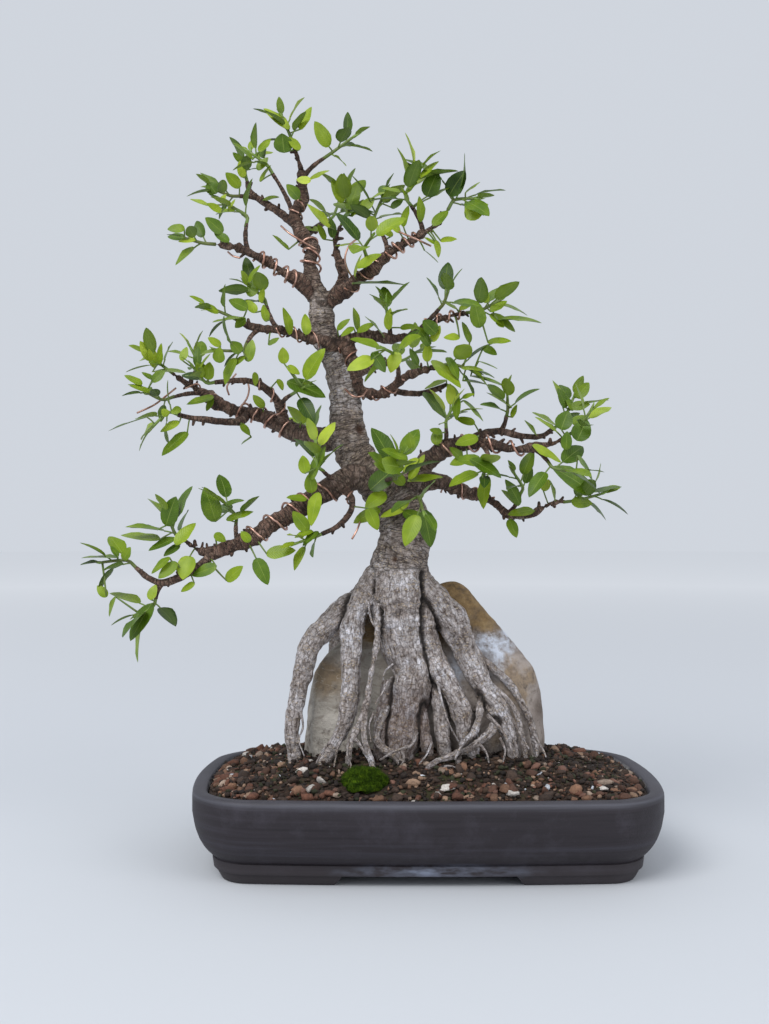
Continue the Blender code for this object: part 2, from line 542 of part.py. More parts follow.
def tube(name, route, sides, look=None, grow=0.0):
    """Makes a tube, optionally fatter and longer at its end by `grow`."""
    route = np.array(route, float)
    if grow:
        end = unit(route[-1, :3] - route[-2, :3])
        route[-1, :3] += grow * end
        route[:, 3] += grow
    points, faces = tube_mesh(route, sides)
    return mesh_object(name, points, faces, look)


# Pot


def rounded_rectangle(inset, radius_inset=None):
    """Returns the outline that lies `inset` inside the pot's widest outline, anticlockwise: a rounded
    rectangle whose four sides bow outward."""
    radius = max(CORNER_RADIUS - (inset if radius_inset is None else radius_inset), 0.012)
    half_x = POT_WIDTH / 2 - inset - radius
    half_y = POT_DEPTH / 2 - inset - radius
    corners = [(half_x, half_y, 0), (-half_x, half_y, 90), (-half_x, -half_y, 180), (half_x, -half_y, 270)]
    outline = []
    for number, (x, y, start) in enumerate(corners):
        for step in range(CORNER_STEPS + 1):
            angle = math.radians(start + 90 * step / CORNER_STEPS)
            outline.append((x + radius * math.cos(angle), y + radius * math.sin(angle)))
        next_x, next_y, next_start = corners[(number + 1) % 4]
        ahead = math.radians(next_start)
        target = (next_x + radius * math.cos(ahead), next_y + radius * math.sin(ahead))
        source = outline[-1]
        steps = LONG_SIDE_STEPS if number % 2 == 0 else SHORT_SIDE_STEPS
        for step in range(1, steps + 1):
            share = step / (steps + 1)
            outline.append((source[0] + share * (target[0] - source[0]), source[1] + share * (target[1] - source[1])))
    bowed = []
    for x, y in outline:
        narrow_x = 1 - SIDE_BOW * (y / (POT_DEPTH / 2)) ** 2
        narrow_y = 1 - FRONT_BOW * (x / (POT_WIDTH / 2)) ** 2
        bowed.append((x * narrow_x, y * narrow_y))
    return bowed


def stack(name, rings, look=None):
    """Makes a closed solid from rings of (z, outline), capped at both ends."""
    points = []
    faces = []
    count = len(rings[0][1])
    for z, outline in rings:
        points.extend((x, y, z) for x, y in outline)
    for ring in range(len(rings) - 1):
        for k in range(count):
            a = ring * count + k
            b = ring * count + (k + 1) % count
            faces.append((a, b, b + count, a + count))
    faces.append(tuple(range(count - 1, -1, -1)))
    last = (len(rings) - 1) * count
    faces.append(tuple(range(last, last + count)))
    return mesh_object(name, points, faces, look)


def box_solid(name, centre, size, top_scale=(1.0, 1.0)):
    """Makes a box whose top can be narrower or wider than its bottom."""
    points = []
    for z, sx, sy in ((-0.5, 1.0, 1.0), (0.5, top_scale[0], top_scale[1])):
        for x, y in ((-0.5, -0.5), (0.5, -0.5), (0.5, 0.5), (-0.5, 0.5)):
            points.append((centre[0] + x * size[0] * sx, centre[1] + y * size[1] * sy, centre[2] + z * size[2]))
    faces = [(3, 2, 1, 0), (4, 5, 6, 7), (0, 1, 5, 4), (1, 2, 6, 5), (2, 3, 7, 6), (3, 0, 4, 7)]
    return mesh_object(name, points, faces)


def cylinder(name, centre, radius, bottom, top, sides=20):
    """Makes an upright cylinder."""
    rings = []
    for z in (bottom, top):
        outline = []
        for k in range(sides):
            angle = 2 * math.pi * k / sides
            outline.append((centre[0] + radius * math.cos(angle), centre[1] + radius * math.sin(angle)))
        rings.append((z, outline))
    return stack(name, rings)


def make_pot(look):
    """The bowl with its band, and a foot ring that is cut away to four wide feet."""
    rings = [(z, rounded_rectangle(inset)) for z, inset in OUTER_WALL + INNER_WALL]
    pot = stack("pot", rings, look)
    ring_top = FOOT_HEIGHT + 0.002
    feet = stack("feet", [(0.0, rounded_rectangle(FOOT_INSET + FOOT_TAPER + 0.002)),
                          (0.0015, rounded_rectangle(FOOT_INSET + FOOT_TAPER)),
                          (ring_top, rounded_rectangle(FOOT_INSET))])
    inside = FOOT_INSET + FOOT_THICKNESS
    cutters = [
        stack("inside", [(-0.01, rounded_rectangle(inside)), (ring_top + 0.01, rounded_rectangle(inside))]),
    ]
    cut_height = 0.03
    slant_x = (FRONT_FOOT_GAP - 2 * FOOT_SLANT) / (FRONT_FOOT_GAP + 2 * FOOT_SLANT)
    slant_y = (SIDE_FOOT_GAP - 2 * FOOT_SLANT) / (SIDE_FOOT_GAP + 2 * FOOT_SLANT)
    cutters.append(box_solid("front_gap", (0, 0, 0), (FRONT_FOOT_GAP + 2 * FOOT_SLANT, POT_DEPTH, cut_height),
                             (slant_x, 1.0)))
    cutters.append(box_solid("side_gap", (0, 0, 0), (POT_WIDTH, SIDE_FOOT_GAP + 2 * FOOT_SLANT, cut_height),
                             (1.0, slant_y)))
    combine(feet, cutters, "DIFFERENCE")
    combine(pot, [feet], "UNION")
    holes = [cylinder("hole", (side * DRAIN_OFFSET, 0), DRAIN_RADIUS, 0.0, FLOOR_TOP + 0.004) for side in (-1, 1)]
    combine(pot, holes, "DIFFERENCE")
    tidy_mesh(pot)
    smooth(pot, 40)
    return pot


def make_drain_mesh(name, x, look):
    """A square plastic mesh over one drainage hole, on the pot's floor."""
    z = FLOOR_TOP + GAP + MESH_THICKNESS / 2
    sheet = box_solid(name, (x, 0, z), (MESH_SIZE, MESH_SIZE, MESH_THICKNESS))
    sheet.data.materials.append(look)
    cell = (MESH_SIZE - MESH_BAR) / MESH_CELLS
    cutters = []
    for i in range(MESH_CELLS):
        for j in range(MESH_CELLS):
            centre = (x + (i - (MESH_CELLS - 1) / 2) * cell, (j - (MESH_CELLS - 1) / 2) * cell, z)
            cutters.append(box_solid("cell", centre, (cell - MESH_BAR, cell - MESH_BAR, 3 * MESH_THICKNESS)))
    combine(sheet, cutters, "DIFFERENCE")
    return sheet


# Soil, stone and moss


def inner_inset(z):
    """How far the pot's inner wall lies inside its widest outline at height z."""
    heights = [row[0] for row in reversed(INNER_WALL)]
    insets = [row[1] for row in reversed(INNER_WALL)]
    return float(np.interp(z, heights, insets))


def soil_height(share):
    """Height of the mounded soil; `share` is 0 in the middle and 1 at the pot's wall."""
    return SOIL_EDGE + (SOIL_CROWN - SOIL_EDGE) * (1 - share**2) ** 0.9


def moss_base():
    """Height of the flat bed in the soil that carries the moss."""
    share = max(abs(MOSS_CENTRE[0]) / (POT_WIDTH / 2), abs(MOSS_CENTRE[1]) / (POT_DEPTH / 2 - RIM_WIDTH))
    return soil_height(share) - MOSS_SUNK


def even_outline(outline, count):
    """Returns points evenly spaced along a closed outline, starting at its first point."""
    points = np.array(outline + outline[:1])
    travelled = np.concatenate([[0], np.cumsum(np.linalg.norm(np.diff(points, axis=0), axis=1))])
    places = np.linspace(0, travelled[-1], count, endpoint=False)
    return list(zip(np.interp(places, travelled, points[:, 0]), np.interp(places, travelled, points[:, 1])))


def make_soil(look, holes):
    """The root ball's soil: it fills the pot, rises to a mound and has a relief of gravel."""
    chance = random.Random(7)
    wall_heights = [FLOOR_TOP + GAP, 0.0210, 0.0300, 0.0480, SOIL_EDGE]
    count = SOIL_POINTS
    rings = [(z, even_outline(rounded_rectangle(inner_inset(z) + 1.6 * GAP), count)) for z in wall_heights]
    points = []
    for z, outline in rings:
        points.extend((x, y, z) for x, y in outline)
    edge = rings[-1][1]
    for ring in range(SOIL_RINGS - 1, 0, -1):
        share = (ring / SOIL_RINGS) ** 0.8
        for x0, y0 in edge:
            x = x0 * share + chance.uniform(-1, 1) * GRAVEL_RELIEF
            y = y0 * share + chance.uniform(-1, 1) * GRAVEL_RELIEF
            z = soil_height(share) + chance.uniform(-1, 1) * GRAVEL_RELIEF
            points.append((x, y, z))
    points.append((0, 0, SOIL_CROWN))
    faces = [tuple(range(count - 1, -1, -1))]
    for ring in range(len(wall_heights) + SOIL_RINGS - 2):
        for k in range(count):
            a = ring * count + k
            b = ring * count + (k + 1) % count
            faces.append((a, b, b + count, a + count))
    last = (len(wall_heights) + SOIL_RINGS - 2) * count
    for k in range(count):
        faces.append((last + k, last + (k + 1) % count, last + count))
    soil = mesh_object("soil", points, faces, look)
    combine(soil, holes, "DIFFERENCE", "MANIFOLD")
    tidy_mesh(soil)
    keep_largest_piece(soil)
    return soil


def stone_body(name, look=None, grow=0.0):
    """The convex body of the stone, optionally grown on all sides."""
    middle = np.mean(STONE_CORNERS, axis=0)
    shape = bmesh.new()
    for corner in STONE_CORNERS:
        corner = np.array(corner)
        shape.verts.new(corner + grow * unit(corner - middle))
    hull = bmesh.ops.convex_hull(shape, input=shape.verts)
    spare = {part for part in hull["geom_interior"] + hull["geom_unused"] if isinstance(part, bmesh.types.BMVert)}
    bmesh.ops.delete(shape, geom=list(spare), context="VERTS")
    mesh = bpy.data.meshes.new(name)
    shape.to_mesh(mesh)
    shape.free()
    thing = bpy.data.objects.new(name, mesh)
    bpy.context.scene.collection.objects.link(thing)
    if look is not None:
        mesh.materials.append(look)
    return thing


def make_stone(look, grooves):
    """The stone under the roots, with grooves where the roots have grown over it."""
    stone = stone_body("stone", look)
    combine(stone, grooves, "DIFFERENCE", "MANIFOLD")
    merge_flat_faces(stone)
    keep_largest_piece(stone)
    return stone


def moss_outline(share, grow=0.0):
    """The uneven outline of the moss at a share of its radius."""
    outline = []
    for k in range(12):
        angle = 2 * math.pi * k / 12
        radius = MOSS_RADIUS * share * (1 + 0.10 * math.sin(3 * angle + 1) + 0.06 * math.sin(5 * angle)) + grow
        outline.append((MOSS_CENTRE[0] + 1.15 * radius * math.cos(angle),
                        MOSS_CENTRE[1] + 0.75 * radius * math.sin(angle)))
    return outline


def moss_bed():
    """What is cut from the soil to seat the moss."""
    bed = moss_base() - GAP
    return stack("bed", [(bed, moss_outline(1.0, 2 * GAP)), (bed + 0.03, moss_outline(1.0, 2 * GAP))])


def make_moss(look):
    """A low cushion of moss on the soil near the front rim."""
    rings = []
    for share in (1.0, 0.93, 0.72, 0.40):
        rings.append((moss_base() + MOSS_HEIGHT * math.sqrt(1 - share**2), moss_outline(share)))
    moss = stack("moss", rings, look)
    smooth(moss)
    return moss


# Wood


def all_branches():
    """Returns the trunk and the branches by name."""
    return {"trunk": TRUNK, **BRANCHES}


def route_sides(points):
    """Returns the number of sides of a root or branch from its radius."""
    thickest = max(row[3] for row in points)
    return 9 if thickest > 0.012 else 6 if thickest > 0.0055 else 5 if thickest > 0.003 else 4


def root_routes():
    """Returns the roots' routes; those that leave the trunk's base start inside it."""
    routes = {}
    for name, points in ROOTS.items():
        if points[0][2] > 0.19:
            points = [FLARE_START[:3] + (min(FLARE_START[3], points[0][3]),)] + points
        routes[name] = smooth_route(points, route_count(points))
    return routes


def branch_routes():
    """Returns the routes of the trunk and of all branches."""
    wired = {row[1] for row in WIRES}
    routes = {}
    for name, points in all_branches().items():
        routes[name] = smooth_route(points, route_count(points) + (2 if name in wired else 0))
    return routes


def place_on(points, share):
    """Returns the row and the direction at a share of the way along a route."""
    fine = smooth_route(points, 101)
    index = min(int(round(share * 100)), 99)
    return fine[index], unit(fine[index + 1, :3] - fine[index, :3])


def bezier(a, b, c, count):
    """Returns points of a quadratic Bezier curve."""
    t = np.linspace(0, 1, count)[:, None]
    return (1 - t) ** 2 * a + 2 * t * (1 - t) * b + t**2 * c


def twig_and_shoot(entry):
    """Returns the woody twig's route, or None, and the green shoot's route."""
    _, host, share, tip, end, _, _ = entry
    points = all_branches()[host]
    row, along = place_on(points, share)
    if tip is None:
        twig = None
        start = np.array(points[-1][:3])
        direction = unit(branch_routes()[host][-1, :3] - branch_routes()[host][-2, :3])
        radius = min(points[-1][3] * 0.9, SHOOT_ROOT_RADIUS)
    else:
        root = row[:3]
        tip = np.array(tip)
        reach = np.linalg.norm(tip - root)
        bend = root + reach * (0.15 * along + 0.35 * unit(tip - root))
        centres = bezier(root, bend, tip, TWIG_RINGS)
        first = min(TWIG_ROOT_RADIUS, 0.85 * row[3])
        radii = np.linspace(first, TWIG_TIP_RADIUS, TWIG_RINGS)
        twig = np.column_stack([centres, radii])
        direction = unit(centres[-1] - centres[-2])
        start = tip
        radius = SHOOT_ROOT_RADIUS
    start = start + (GAP + 0.0001) * direction
    end = np.array(end)
    middle = start + 0.45 * np.linalg.norm(end - start) * direction
    centres = bezier(start, middle, end, SHOOT_RINGS)
    centres[1] = start + np.linalg.norm(centres[1] - start) * direction
    shoot = np.column_stack([centres, np.linspace(radius, SHOOT_TIP_RADIUS, SHOOT_RINGS)])
    return twig, shoot


def make_wood(look):
    """One grown piece: roots, trunk, branches and woody twigs."""
    pieces = []
    for name, route in branch_routes().items():
        if name != "trunk":
            pieces.append(tube(name, route, route_sides(all_branches()[name])))
    for name, route in root_routes().items():
        pieces.append(tube(name, route, route_sides(ROOTS[name])))
    for entry in SHOOTS:
        twig, _ = twig_and_shoot(entry)
        if twig is not None:
            pieces.append(tube("twig", twig, TWIG_SIDES))
    trunk = smooth_route(TRUNK, route_count(TRUNK) + 4)
    wood = tube("tree_wood", trunk, TRUNK_SIDES, look)
    combine(wood, pieces, "UNION", "MANIFOLD")
    merge_flat_faces(wood)
    keep_largest_piece(wood)
    smooth(wood, 60)
    return wood


def grown_roots():
    """Solids a little fatter than the roots and the trunk's base, for the soil's holes and the grooves."""
    solids = []
    for name, route in root_routes().items():
        solids.append(tube("hole", route, route_sides(ROOTS[name]), grow=ROOT_GAP))
    trunk = smooth_route(TRUNK, route_count(TRUNK) + 4)[:6]
    solids.append(tube("hole", trunk, TRUNK_SIDES, grow=ROOT_GAP))
    return solids


# Wires


def wire_route(host, first, last, turns, start_angle):
    """A coil round a branch, a little off its bark."""
    rings = branch_routes()[host]
    places = np.linspace(0, len(rings) - 1, 401)
    fine = np.column_stack([np.interp(places, range(len(rings)), rings[:, k]) for k in range(4)])
    _, across, above = frames_along(smooth_route(all_branches()[host], 401)[:, :3])
    count = max(int(abs(turns) * WIRE_STEPS), WIRE_STEPS)
    rows = []
    for k in range(count + 1):
        share = k / count
        index = int(round(400 * (first + share * (last - first))))
        angle = math.radians(start_angle) + 2 * math.pi * turns * share
        radius = (fine[index, 3] + WIRE_RADIUS + WIRE_SEAT) / math.cos(math.pi / WIRE_STEPS)
        centre = fine[index, :3] + radius * (math.cos(angle) * across[index] + math.sin(angle) * above[index])
        rows.append((*centre, WIRE_RADIUS))
    return np.array(rows)


def make_wires(look):
    """One coil of training wire for each wired branch."""
    wires = []
    for name, host, first, last, turns, start_angle in WIRES:
        wire = tube(name, wire_route(host, first, last, turns, start_angle), WIRE_SIDES, look)
        smooth(wire, 60)
        wires.append(wire)
    return wires


# Leaves


def leaf_sections(base, root, direction, normal, length, grow=0.0):
    """Returns the leaf's rings of four points and its tip.

    The midline runs from the blade's base along the direction and droops with the square of the
    distance; the two halves rise from it by the fold.
    """
    side = np.cross(direction, normal)
    petiole = PETIOLE_RADIUS + grow
    rings = []
    for centre in (root, base):
        rings.append([centre - petiole * side, centre + petiole * normal,
                      centre + petiole * side, centre - petiole * normal])
    thick = BLADE_HALF_THICKNESS + grow
    for along, width in BLADE_STATIONS:
        middle = base + direction * length * along - normal * BLADE_DROOP * length * along**2
        half = BLADE_WIDTH * length / 2 * width + grow
        rings.append([middle - half * side + BLADE_FOLD * half * normal, middle + thick * normal,
                      middle + half * side + BLADE_FOLD * half * normal, middle - thick * normal])
    tip = base + direction * (length + grow) - normal * BLADE_DROOP * length
    return np.array(rings), tip


def leaf_faces(ring_count):
    """Triangles of a leaf, split alike on its upper and under side."""
    faces = [(0, 3, 2), (0, 2, 1)]
    for ring in range(ring_count - 1):
        for k in range(4):
            a = 4 * ring + k
            b = 4 * ring + (k + 1) % 4
            if k % 2 == 0:
                faces.extend([(a, b, b + 4), (a, b + 4, a + 4)])
            else:
                faces.extend([(a, b, a + 4), (b, b + 4, a + 4)])
    last = 4 * (ring_count - 1)
    for k in range(4):
        faces.append((last + k, last + (k + 1) % 4, last + 4))
    return faces


LEAF_FACES = np.array(leaf_faces(2 + len(BLADE_STATIONS)))


def leaf_triangles(rings, tip):
    """Returns the leaf's triangles as an array of corner points."""
    points = np.vstack([rings.reshape(-1, 3), tip])
    return points[LEAF_FACES]


def segments_hit(starts, ends, triangles):
    """Tells whether any segment passes through any triangle."""
    a = triangles[:, 0]
    edge1 = triangles[:, 1] - a
    edge2 = triangles[:, 2] - a
    d = (ends - starts)[:, None, :]
    h = np.cross(d, edge2[None])
    det = (edge1[None] * h).sum(2)
    safe = np.where(np.abs(det) < 1e-18, 1.0, det)
    s = starts[:, None, :] - a[None]
    u = (s * h).sum(2) / safe
    q = np.cross(s, edge1[None])
    v = (d * q).sum(2) / safe
    t = (edge2[None] * q).sum(2) / safe
    hit = (np.abs(det) > 1e-18) & (u >= 0) & (v >= 0) & (u + v <= 1) & (t >= 0) & (t <= 1)
    return bool(hit.any())


def triangles_cross(first, second):
    """Tells whether two sets of triangles cut each other."""
    for one, other in ((first, second), (second, first)):
        starts = one.reshape(-1, 3)
        ends = np.roll(one, -1, axis=1).reshape(-1, 3)
        if segments_hit(starts, ends, other):
            return True
    return False


def distance_to_tubes(points, starts, ends, radii):
    """Returns the least distance from the points to the surface of straight tubes."""
    d = ends - starts
    span = np.maximum((d * d).sum(1), 1e-12)
    t = np.clip(((points[:, None, :] - starts[None]) * d[None]).sum(2) / span[None], 0, 1)
    nearest = starts[None] + t[..., None] * d[None]
    return float((np.linalg.norm(points[:, None, :] - nearest, axis=2) - radii[None]).min())


def tube_pieces(routes, extra=0.0):
    """Returns routes as straight tubes: starts, ends and radii."""
    starts = np.vstack([r[:-1, :3] for r in routes])
    ends = np.vstack([r[1:, :3] for r in routes])
    radii = np.concatenate([np.maximum(r[:-1, 3], r[1:, 3]) + extra for r in routes])
    return starts, ends, radii


def leaf_samples(rings, tip):
    """Points spread over a leaf's blade, for its distance to wood."""
    left = np.vstack([rings[1:, 0], tip])
    right = np.vstack([rings[1:, 2], tip])
    middle = np.vstack([(rings[1:, 1] + rings[1:, 3]) / 2, tip])
    samples = []
    for a, b in ((left, middle), (middle, right)):
        for share in (0.0, 0.5, 1.0):
            row = a * (1 - share) + b * share
            for k in range(len(row) - 1):
                for step in (0.0, 0.25, 0.5, 0.75):
                    samples.append(row[k] * (1 - step) + row[k + 1] * step)
            samples.append(row[-1])
    return np.array(samples)


def leaf_pose(chance, shoot, index, count, longest, turn, attempt):
    """Returns root, base, direction, normal and length for one leaf of a shoot.

    Leaves stand alternately round the shoot, flatter at its foot and steeper at its tip, where the
    youngest leaf is the smallest. Each further attempt turns and lifts the leaf a little more.
    """
    share = (index + 0.6) / count
    last = index == count - 1
    position = np.clip(0.10 + 0.90 * share, 0, 1) * (len(shoot) - 1)
    k = min(int(position), len(shoot) - 2)
    root = shoot[k, :3] + (shoot[k + 1, :3] - shoot[k, :3]) * (position - k)
    axis = unit(shoot[k + 1, :3] - shoot[k, :3])
    u = unit(np.cross(axis, (0.3, 0.9, 0.1)))
    v = np.cross(axis, u)
    spread = math.radians(12 if last else 66 - 30 * share)
    spread += math.radians(chance.uniform(-9, 9) * (1 + 0.10 * attempt))
    azimuth = turn + math.radians(144 * index + chance.uniform(-16, 16) * (1 + 0.30 * attempt))
    radial = math.cos(azimuth) * u + math.sin(azimuth) * v
    direction = unit(math.cos(spread) * axis + math.sin(spread) * radial + np.array((0, 0, 0.10)))
    upward = unit(np.array((0.0, -0.30, 1.0)) + 0.5 * axis)
    normal = upward - np.dot(upward, direction) * direction
    if np.linalg.norm(normal) < 0.25:
        normal = -radial - np.dot(-radial, direction) * direction
    normal = unit(normal)
    roll = math.radians(chance.uniform(-35, 35))
    normal = unit(math.cos(roll) * normal + math.sin(roll) * np.cross(direction, normal))
    growth = 0.72 + 0.28 * math.sin(math.pi * min(share, 0.95))
    length = longest * growth * chance.uniform(0.86, 1.04) * (0.78 if last else 1.0)
    length *= 1 - 0.012 * attempt
    base = root + direction * (SHOOT_ROOT_RADIUS + PETIOLE * length)
    return root, base, direction, normal, length


def plan_leaves():
    """Places every leaf clear of the wood, the wires and the other leaves, by the same draws each run."""
    wired = {row[1] for row in WIRES}
    hosts = branch_routes()
    plain = [route for name, route in hosts.items() if name not in wired]
    coiled = [route for name, route in hosts.items() if name in wired]
    pairs = [twig_and_shoot(entry) for entry in SHOOTS]
    twigs = [twig for twig, _ in pairs if twig is not None]
    sets = [tube_pieces(plain + twigs), tube_pieces(coiled, 2 * WIRE_RADIUS + WIRE_SEAT)]
    wood = [np.concatenate([s[k] for s in sets]) for k in range(3)]
    placed = []
    plan = []
    for number, (entry, (_, shoot)) in enumerate(zip(SHOOTS, pairs)):
        chance = random.Random(LEAF_SEED + number)
        turn = chance.uniform(0, 2 * math.pi)
        others = tube_pieces([s for k, (_, s) in enumerate(pairs) if k != number])
        own = tube_pieces([shoot])
        leaves = []
        count = entry[5]
        for index in range(count):
            for attempt in range(LEAF_TRIES):
                root, base, direction, normal, length = leaf_pose(
                    chance, shoot, index, count, entry[6], turn, attempt)
                rings, tip = leaf_sections(base, root, direction, normal, length, LEAF_CLEARANCE)
                samples = leaf_samples(rings, tip)
                if distance_to_tubes(samples, *wood) < WOOD_CLEARANCE:
                    continue
                if distance_to_tubes(samples, *others) < WOOD_CLEARANCE:
                    continue
                if distance_to_tubes(samples[4:], *own) < 0.0:
                    continue
                triangles = leaf_triangles(rings, tip)
                middle = (base + tip) / 2
                near = [t for m, t in placed if np.linalg.norm(m - middle) < 0.055]
                blade = triangles[10:]
                if near and triangles_cross(blade, np.concatenate(near)):
                    continue
                exact = leaf_sections(base, root, direction, normal, length)
                placed.append((middle, leaf_triangles(*exact)))
                leaves.append(exact)
                break
        plan.append((entry[0], shoot, leaves))
    return plan


def make_shoots(look):
    """One object for each leafy shoot: the green stem with its leaves grown into it."""
    shoots = []
    numbers = {}
    for region, stem, leaves in plan_leaves():
        numbers[region] = numbers.get(region, 0) + 1
        name = f"shoot_{region}_{numbers[region]:02d}"
        shoot = tube(name, stem, SHOOT_SIDES, look)
        operands = []
        for rings, tip in leaves:
            points = np.vstack([rings.reshape(-1, 3), tip])
            operands.append(mesh_object("leaf", points, [tuple(f) for f in LEAF_FACES.tolist()]))
        combine(shoot, operands, "UNION", "MANIFOLD")
        merge_flat_faces(shoot)
        keep_largest_piece(shoot)
        shoots.append(shoot)
    return shoots


# Assembly


def centre_on_footprint(things):
    """Moves everything so that the middle of the whole outline is over the origin."""
    corners = []
    for thing in things:
        points = np.empty(len(thing.data.vertices) * 3, np.float32)
        thing.data.vertices.foreach_get("co", points)
        points = points.reshape(-1, 3)
        corners.append(points.min(0))
        corners.append(points.max(0))
    low = np.min(corners, axis=0)
    high = np.max(corners, axis=0)
    holder = bpy.data.objects.new("ficus_bonsai", None)
    bpy.context.scene.collection.objects.link(holder)
    holder.location = Vector((-(low[0] + high[0]) / 2, -(low[1] + high[1]) / 2, -low[2]))
    for thing in things:
        thing.parent = holder


def main():
    """Builds every piece of the bonsai."""
    for thing in list(bpy.data.objects):
        bpy.data.objects.remove(thing)
    clay = material("unglazed_clay", (0.075, 0.060, 0.068), 0.55)
    soil_look = material("soil_and_gravel", (0.110, 0.060, 0.035), 0.95)
    rock_look = material("weathered_rock", (0.270, 0.190, 0.110), 0.85)
    bark = material("grey_bark", (0.300, 0.250, 0.200), 0.85)
    moss_look = material("green_moss", (0.090, 0.230, 0.020), 0.95)
    plastic = material("black_mesh", (0.020, 0.020, 0.020), 0.60)
    copper = material("copper_coloured_wire", (0.620, 0.330, 0.240), 0.35, 1.0)
    leaf = material("green_leaf", (0.150, 0.360, 0.040), 0.40)

    things = [make_pot(clay)]
    meshes = []
    for side, label in ((-1, "left"), (1, "right")):
        meshes.append(make_drain_mesh(f"drain_mesh_{label}", side * DRAIN_OFFSET, plastic))
    holes = grown_roots() + [stone_body("hole", grow=2 * ROOT_GAP)]
    bed_size = MESH_SIZE + 2 * GAP
    bed_height = FLOOR_TOP + 2 * GAP + MESH_THICKNESS
    for side in (-1, 1):
        holes.append(box_solid("bed", (side * DRAIN_OFFSET, 0, bed_height / 2), (bed_size, bed_size, bed_height)))
    holes.append(moss_bed())
    things.extend(meshes)
    things.append(make_soil(soil_look, holes))
    things.append(make_stone(rock_look, grown_roots()))
    things.append(make_moss(moss_look))
    things.append(make_wood(bark))
    things.extend(make_wires(copper))
    things.extend(make_shoots(leaf))
    centre_on_footprint(things)


main()
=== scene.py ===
"""Looks of the ficus bonsai: clay, gravel, moss, stone, bark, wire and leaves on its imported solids.

Metres, +Z up, +X to the right of the front view, +Y to the back. Shapes are laid out from the pot's middle
and moved by SHIFT, its place in the frame, when their mesh is made.
"""

import math
import random

import bmesh
import bpy
import numpy as np
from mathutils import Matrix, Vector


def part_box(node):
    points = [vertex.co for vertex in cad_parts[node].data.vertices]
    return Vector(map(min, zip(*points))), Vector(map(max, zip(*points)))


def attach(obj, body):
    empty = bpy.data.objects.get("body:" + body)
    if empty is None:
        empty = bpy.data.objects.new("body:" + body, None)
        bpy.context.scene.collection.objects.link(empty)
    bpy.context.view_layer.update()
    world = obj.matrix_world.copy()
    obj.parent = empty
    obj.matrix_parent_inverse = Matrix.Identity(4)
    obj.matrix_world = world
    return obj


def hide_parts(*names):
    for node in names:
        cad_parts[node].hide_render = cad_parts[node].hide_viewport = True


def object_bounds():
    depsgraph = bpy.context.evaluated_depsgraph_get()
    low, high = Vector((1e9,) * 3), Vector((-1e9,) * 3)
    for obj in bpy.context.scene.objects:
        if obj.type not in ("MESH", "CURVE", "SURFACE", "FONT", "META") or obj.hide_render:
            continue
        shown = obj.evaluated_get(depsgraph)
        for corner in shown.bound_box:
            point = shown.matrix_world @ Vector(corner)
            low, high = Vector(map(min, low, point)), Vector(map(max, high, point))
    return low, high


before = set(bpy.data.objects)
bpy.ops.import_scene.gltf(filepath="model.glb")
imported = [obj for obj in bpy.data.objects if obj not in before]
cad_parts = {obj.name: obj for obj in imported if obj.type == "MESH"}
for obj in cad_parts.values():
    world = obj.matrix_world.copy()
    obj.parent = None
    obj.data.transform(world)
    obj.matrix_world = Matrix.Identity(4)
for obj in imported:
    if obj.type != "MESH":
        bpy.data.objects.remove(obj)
CAD_LOW, CAD_HIGH = [np.array(corner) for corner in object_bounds()]
POT_LOW, POT_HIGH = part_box("pot")
SHIFT = np.array([(POT_LOW[0] + POT_HIGH[0]) / 2, (POT_LOW[1] + POT_HIGH[1]) / 2, 0.0])

# Camera: focal length in pixels of the 769 by 1024 picture, its place and the height of the horizon
FOCAL_PIXELS = 1100
CAMERA_PLACE = (-0.032, -0.861, 0.2515)
HORIZON_ROW = 532
PICTURE_SIZE = (769, 1024)

# Gap between solids that touch
GAP = 0.0003

# Pot: a rounded rectangle with an incurved wall, a band and four wide feet
POT_WIDTH = 0.355
POT_DEPTH = 0.205
CORNER_RADIUS = 0.040
RIM_WIDTH = 0.010
# The sides bow outward: how far each narrows at the pot's corners, as a share of the half length
SIDE_BOW = 0.075
FRONT_BOW = 0.085
FLOOR_TOP = 0.017
FOOT_HEIGHT = 0.008
FOOT_THICKNESS = 0.016
FOOT_INSET = 0.018
FOOT_TAPER = 0.004
FRONT_FOOT_GAP = 0.124
SIDE_FOOT_GAP = 0.070
FOOT_SLANT = 0.006
DRAIN_RADIUS = 0.009
DRAIN_OFFSET = 0.085

# Soil
SOIL_EDGE = 0.0570
SOIL_RISE = 0.0030
SOIL_CROWN = 0.0830
MOSS_CENTRE = (-0.047, -0.070)
MOSS_RADIUS = 0.0150
MOSS_DOME = 0.0135
MOSS_SUNK = 0.0020



def metres(rows):
    """Turns rows of millimetres into metres."""
    return [tuple(round(value / 1000, 6) for value in row) for row in rows]


# Height and distance inside the widest outline, in millimetres: the outer wall's curve and the inner wall
OUTER_WALL = metres([(16.5, 16.5), (21, 10.5), (28, 5.5), (37, 2), (48, 0)])
INNER_WALL = metres([(63.5, 10.5), (62, 12), (48, 13), (30, 15.5), (21, 21.5), (17, 29)])

# Stone: corners of its faceted body, in millimetres
STONE_CORNERS = metres([
    (-90, -10, 55), (-10, -8, 55), (86, -12, 55), (98, 20, 55), (84, 64, 55), (-78, 60, 55), (-102, 20, 55),
    (-91, -6, 120), (-98, 18, 128), (-82, 2, 156), (-60, 24, 176), (-70, 52, 140), (14, 18, 208),
    (25, 16, 215.5), (35, 20, 211), (44, 12, 197), (58, 4, 178), (82, 8, 158), (92, 12, 143),
    (100, 22, 118), (78, -10, 112), (60, 58, 158), (30, 50, 200), (0, 58, 178), (0, -12, 100),
    (88, 52, 120), (-40, 24, 196),
])

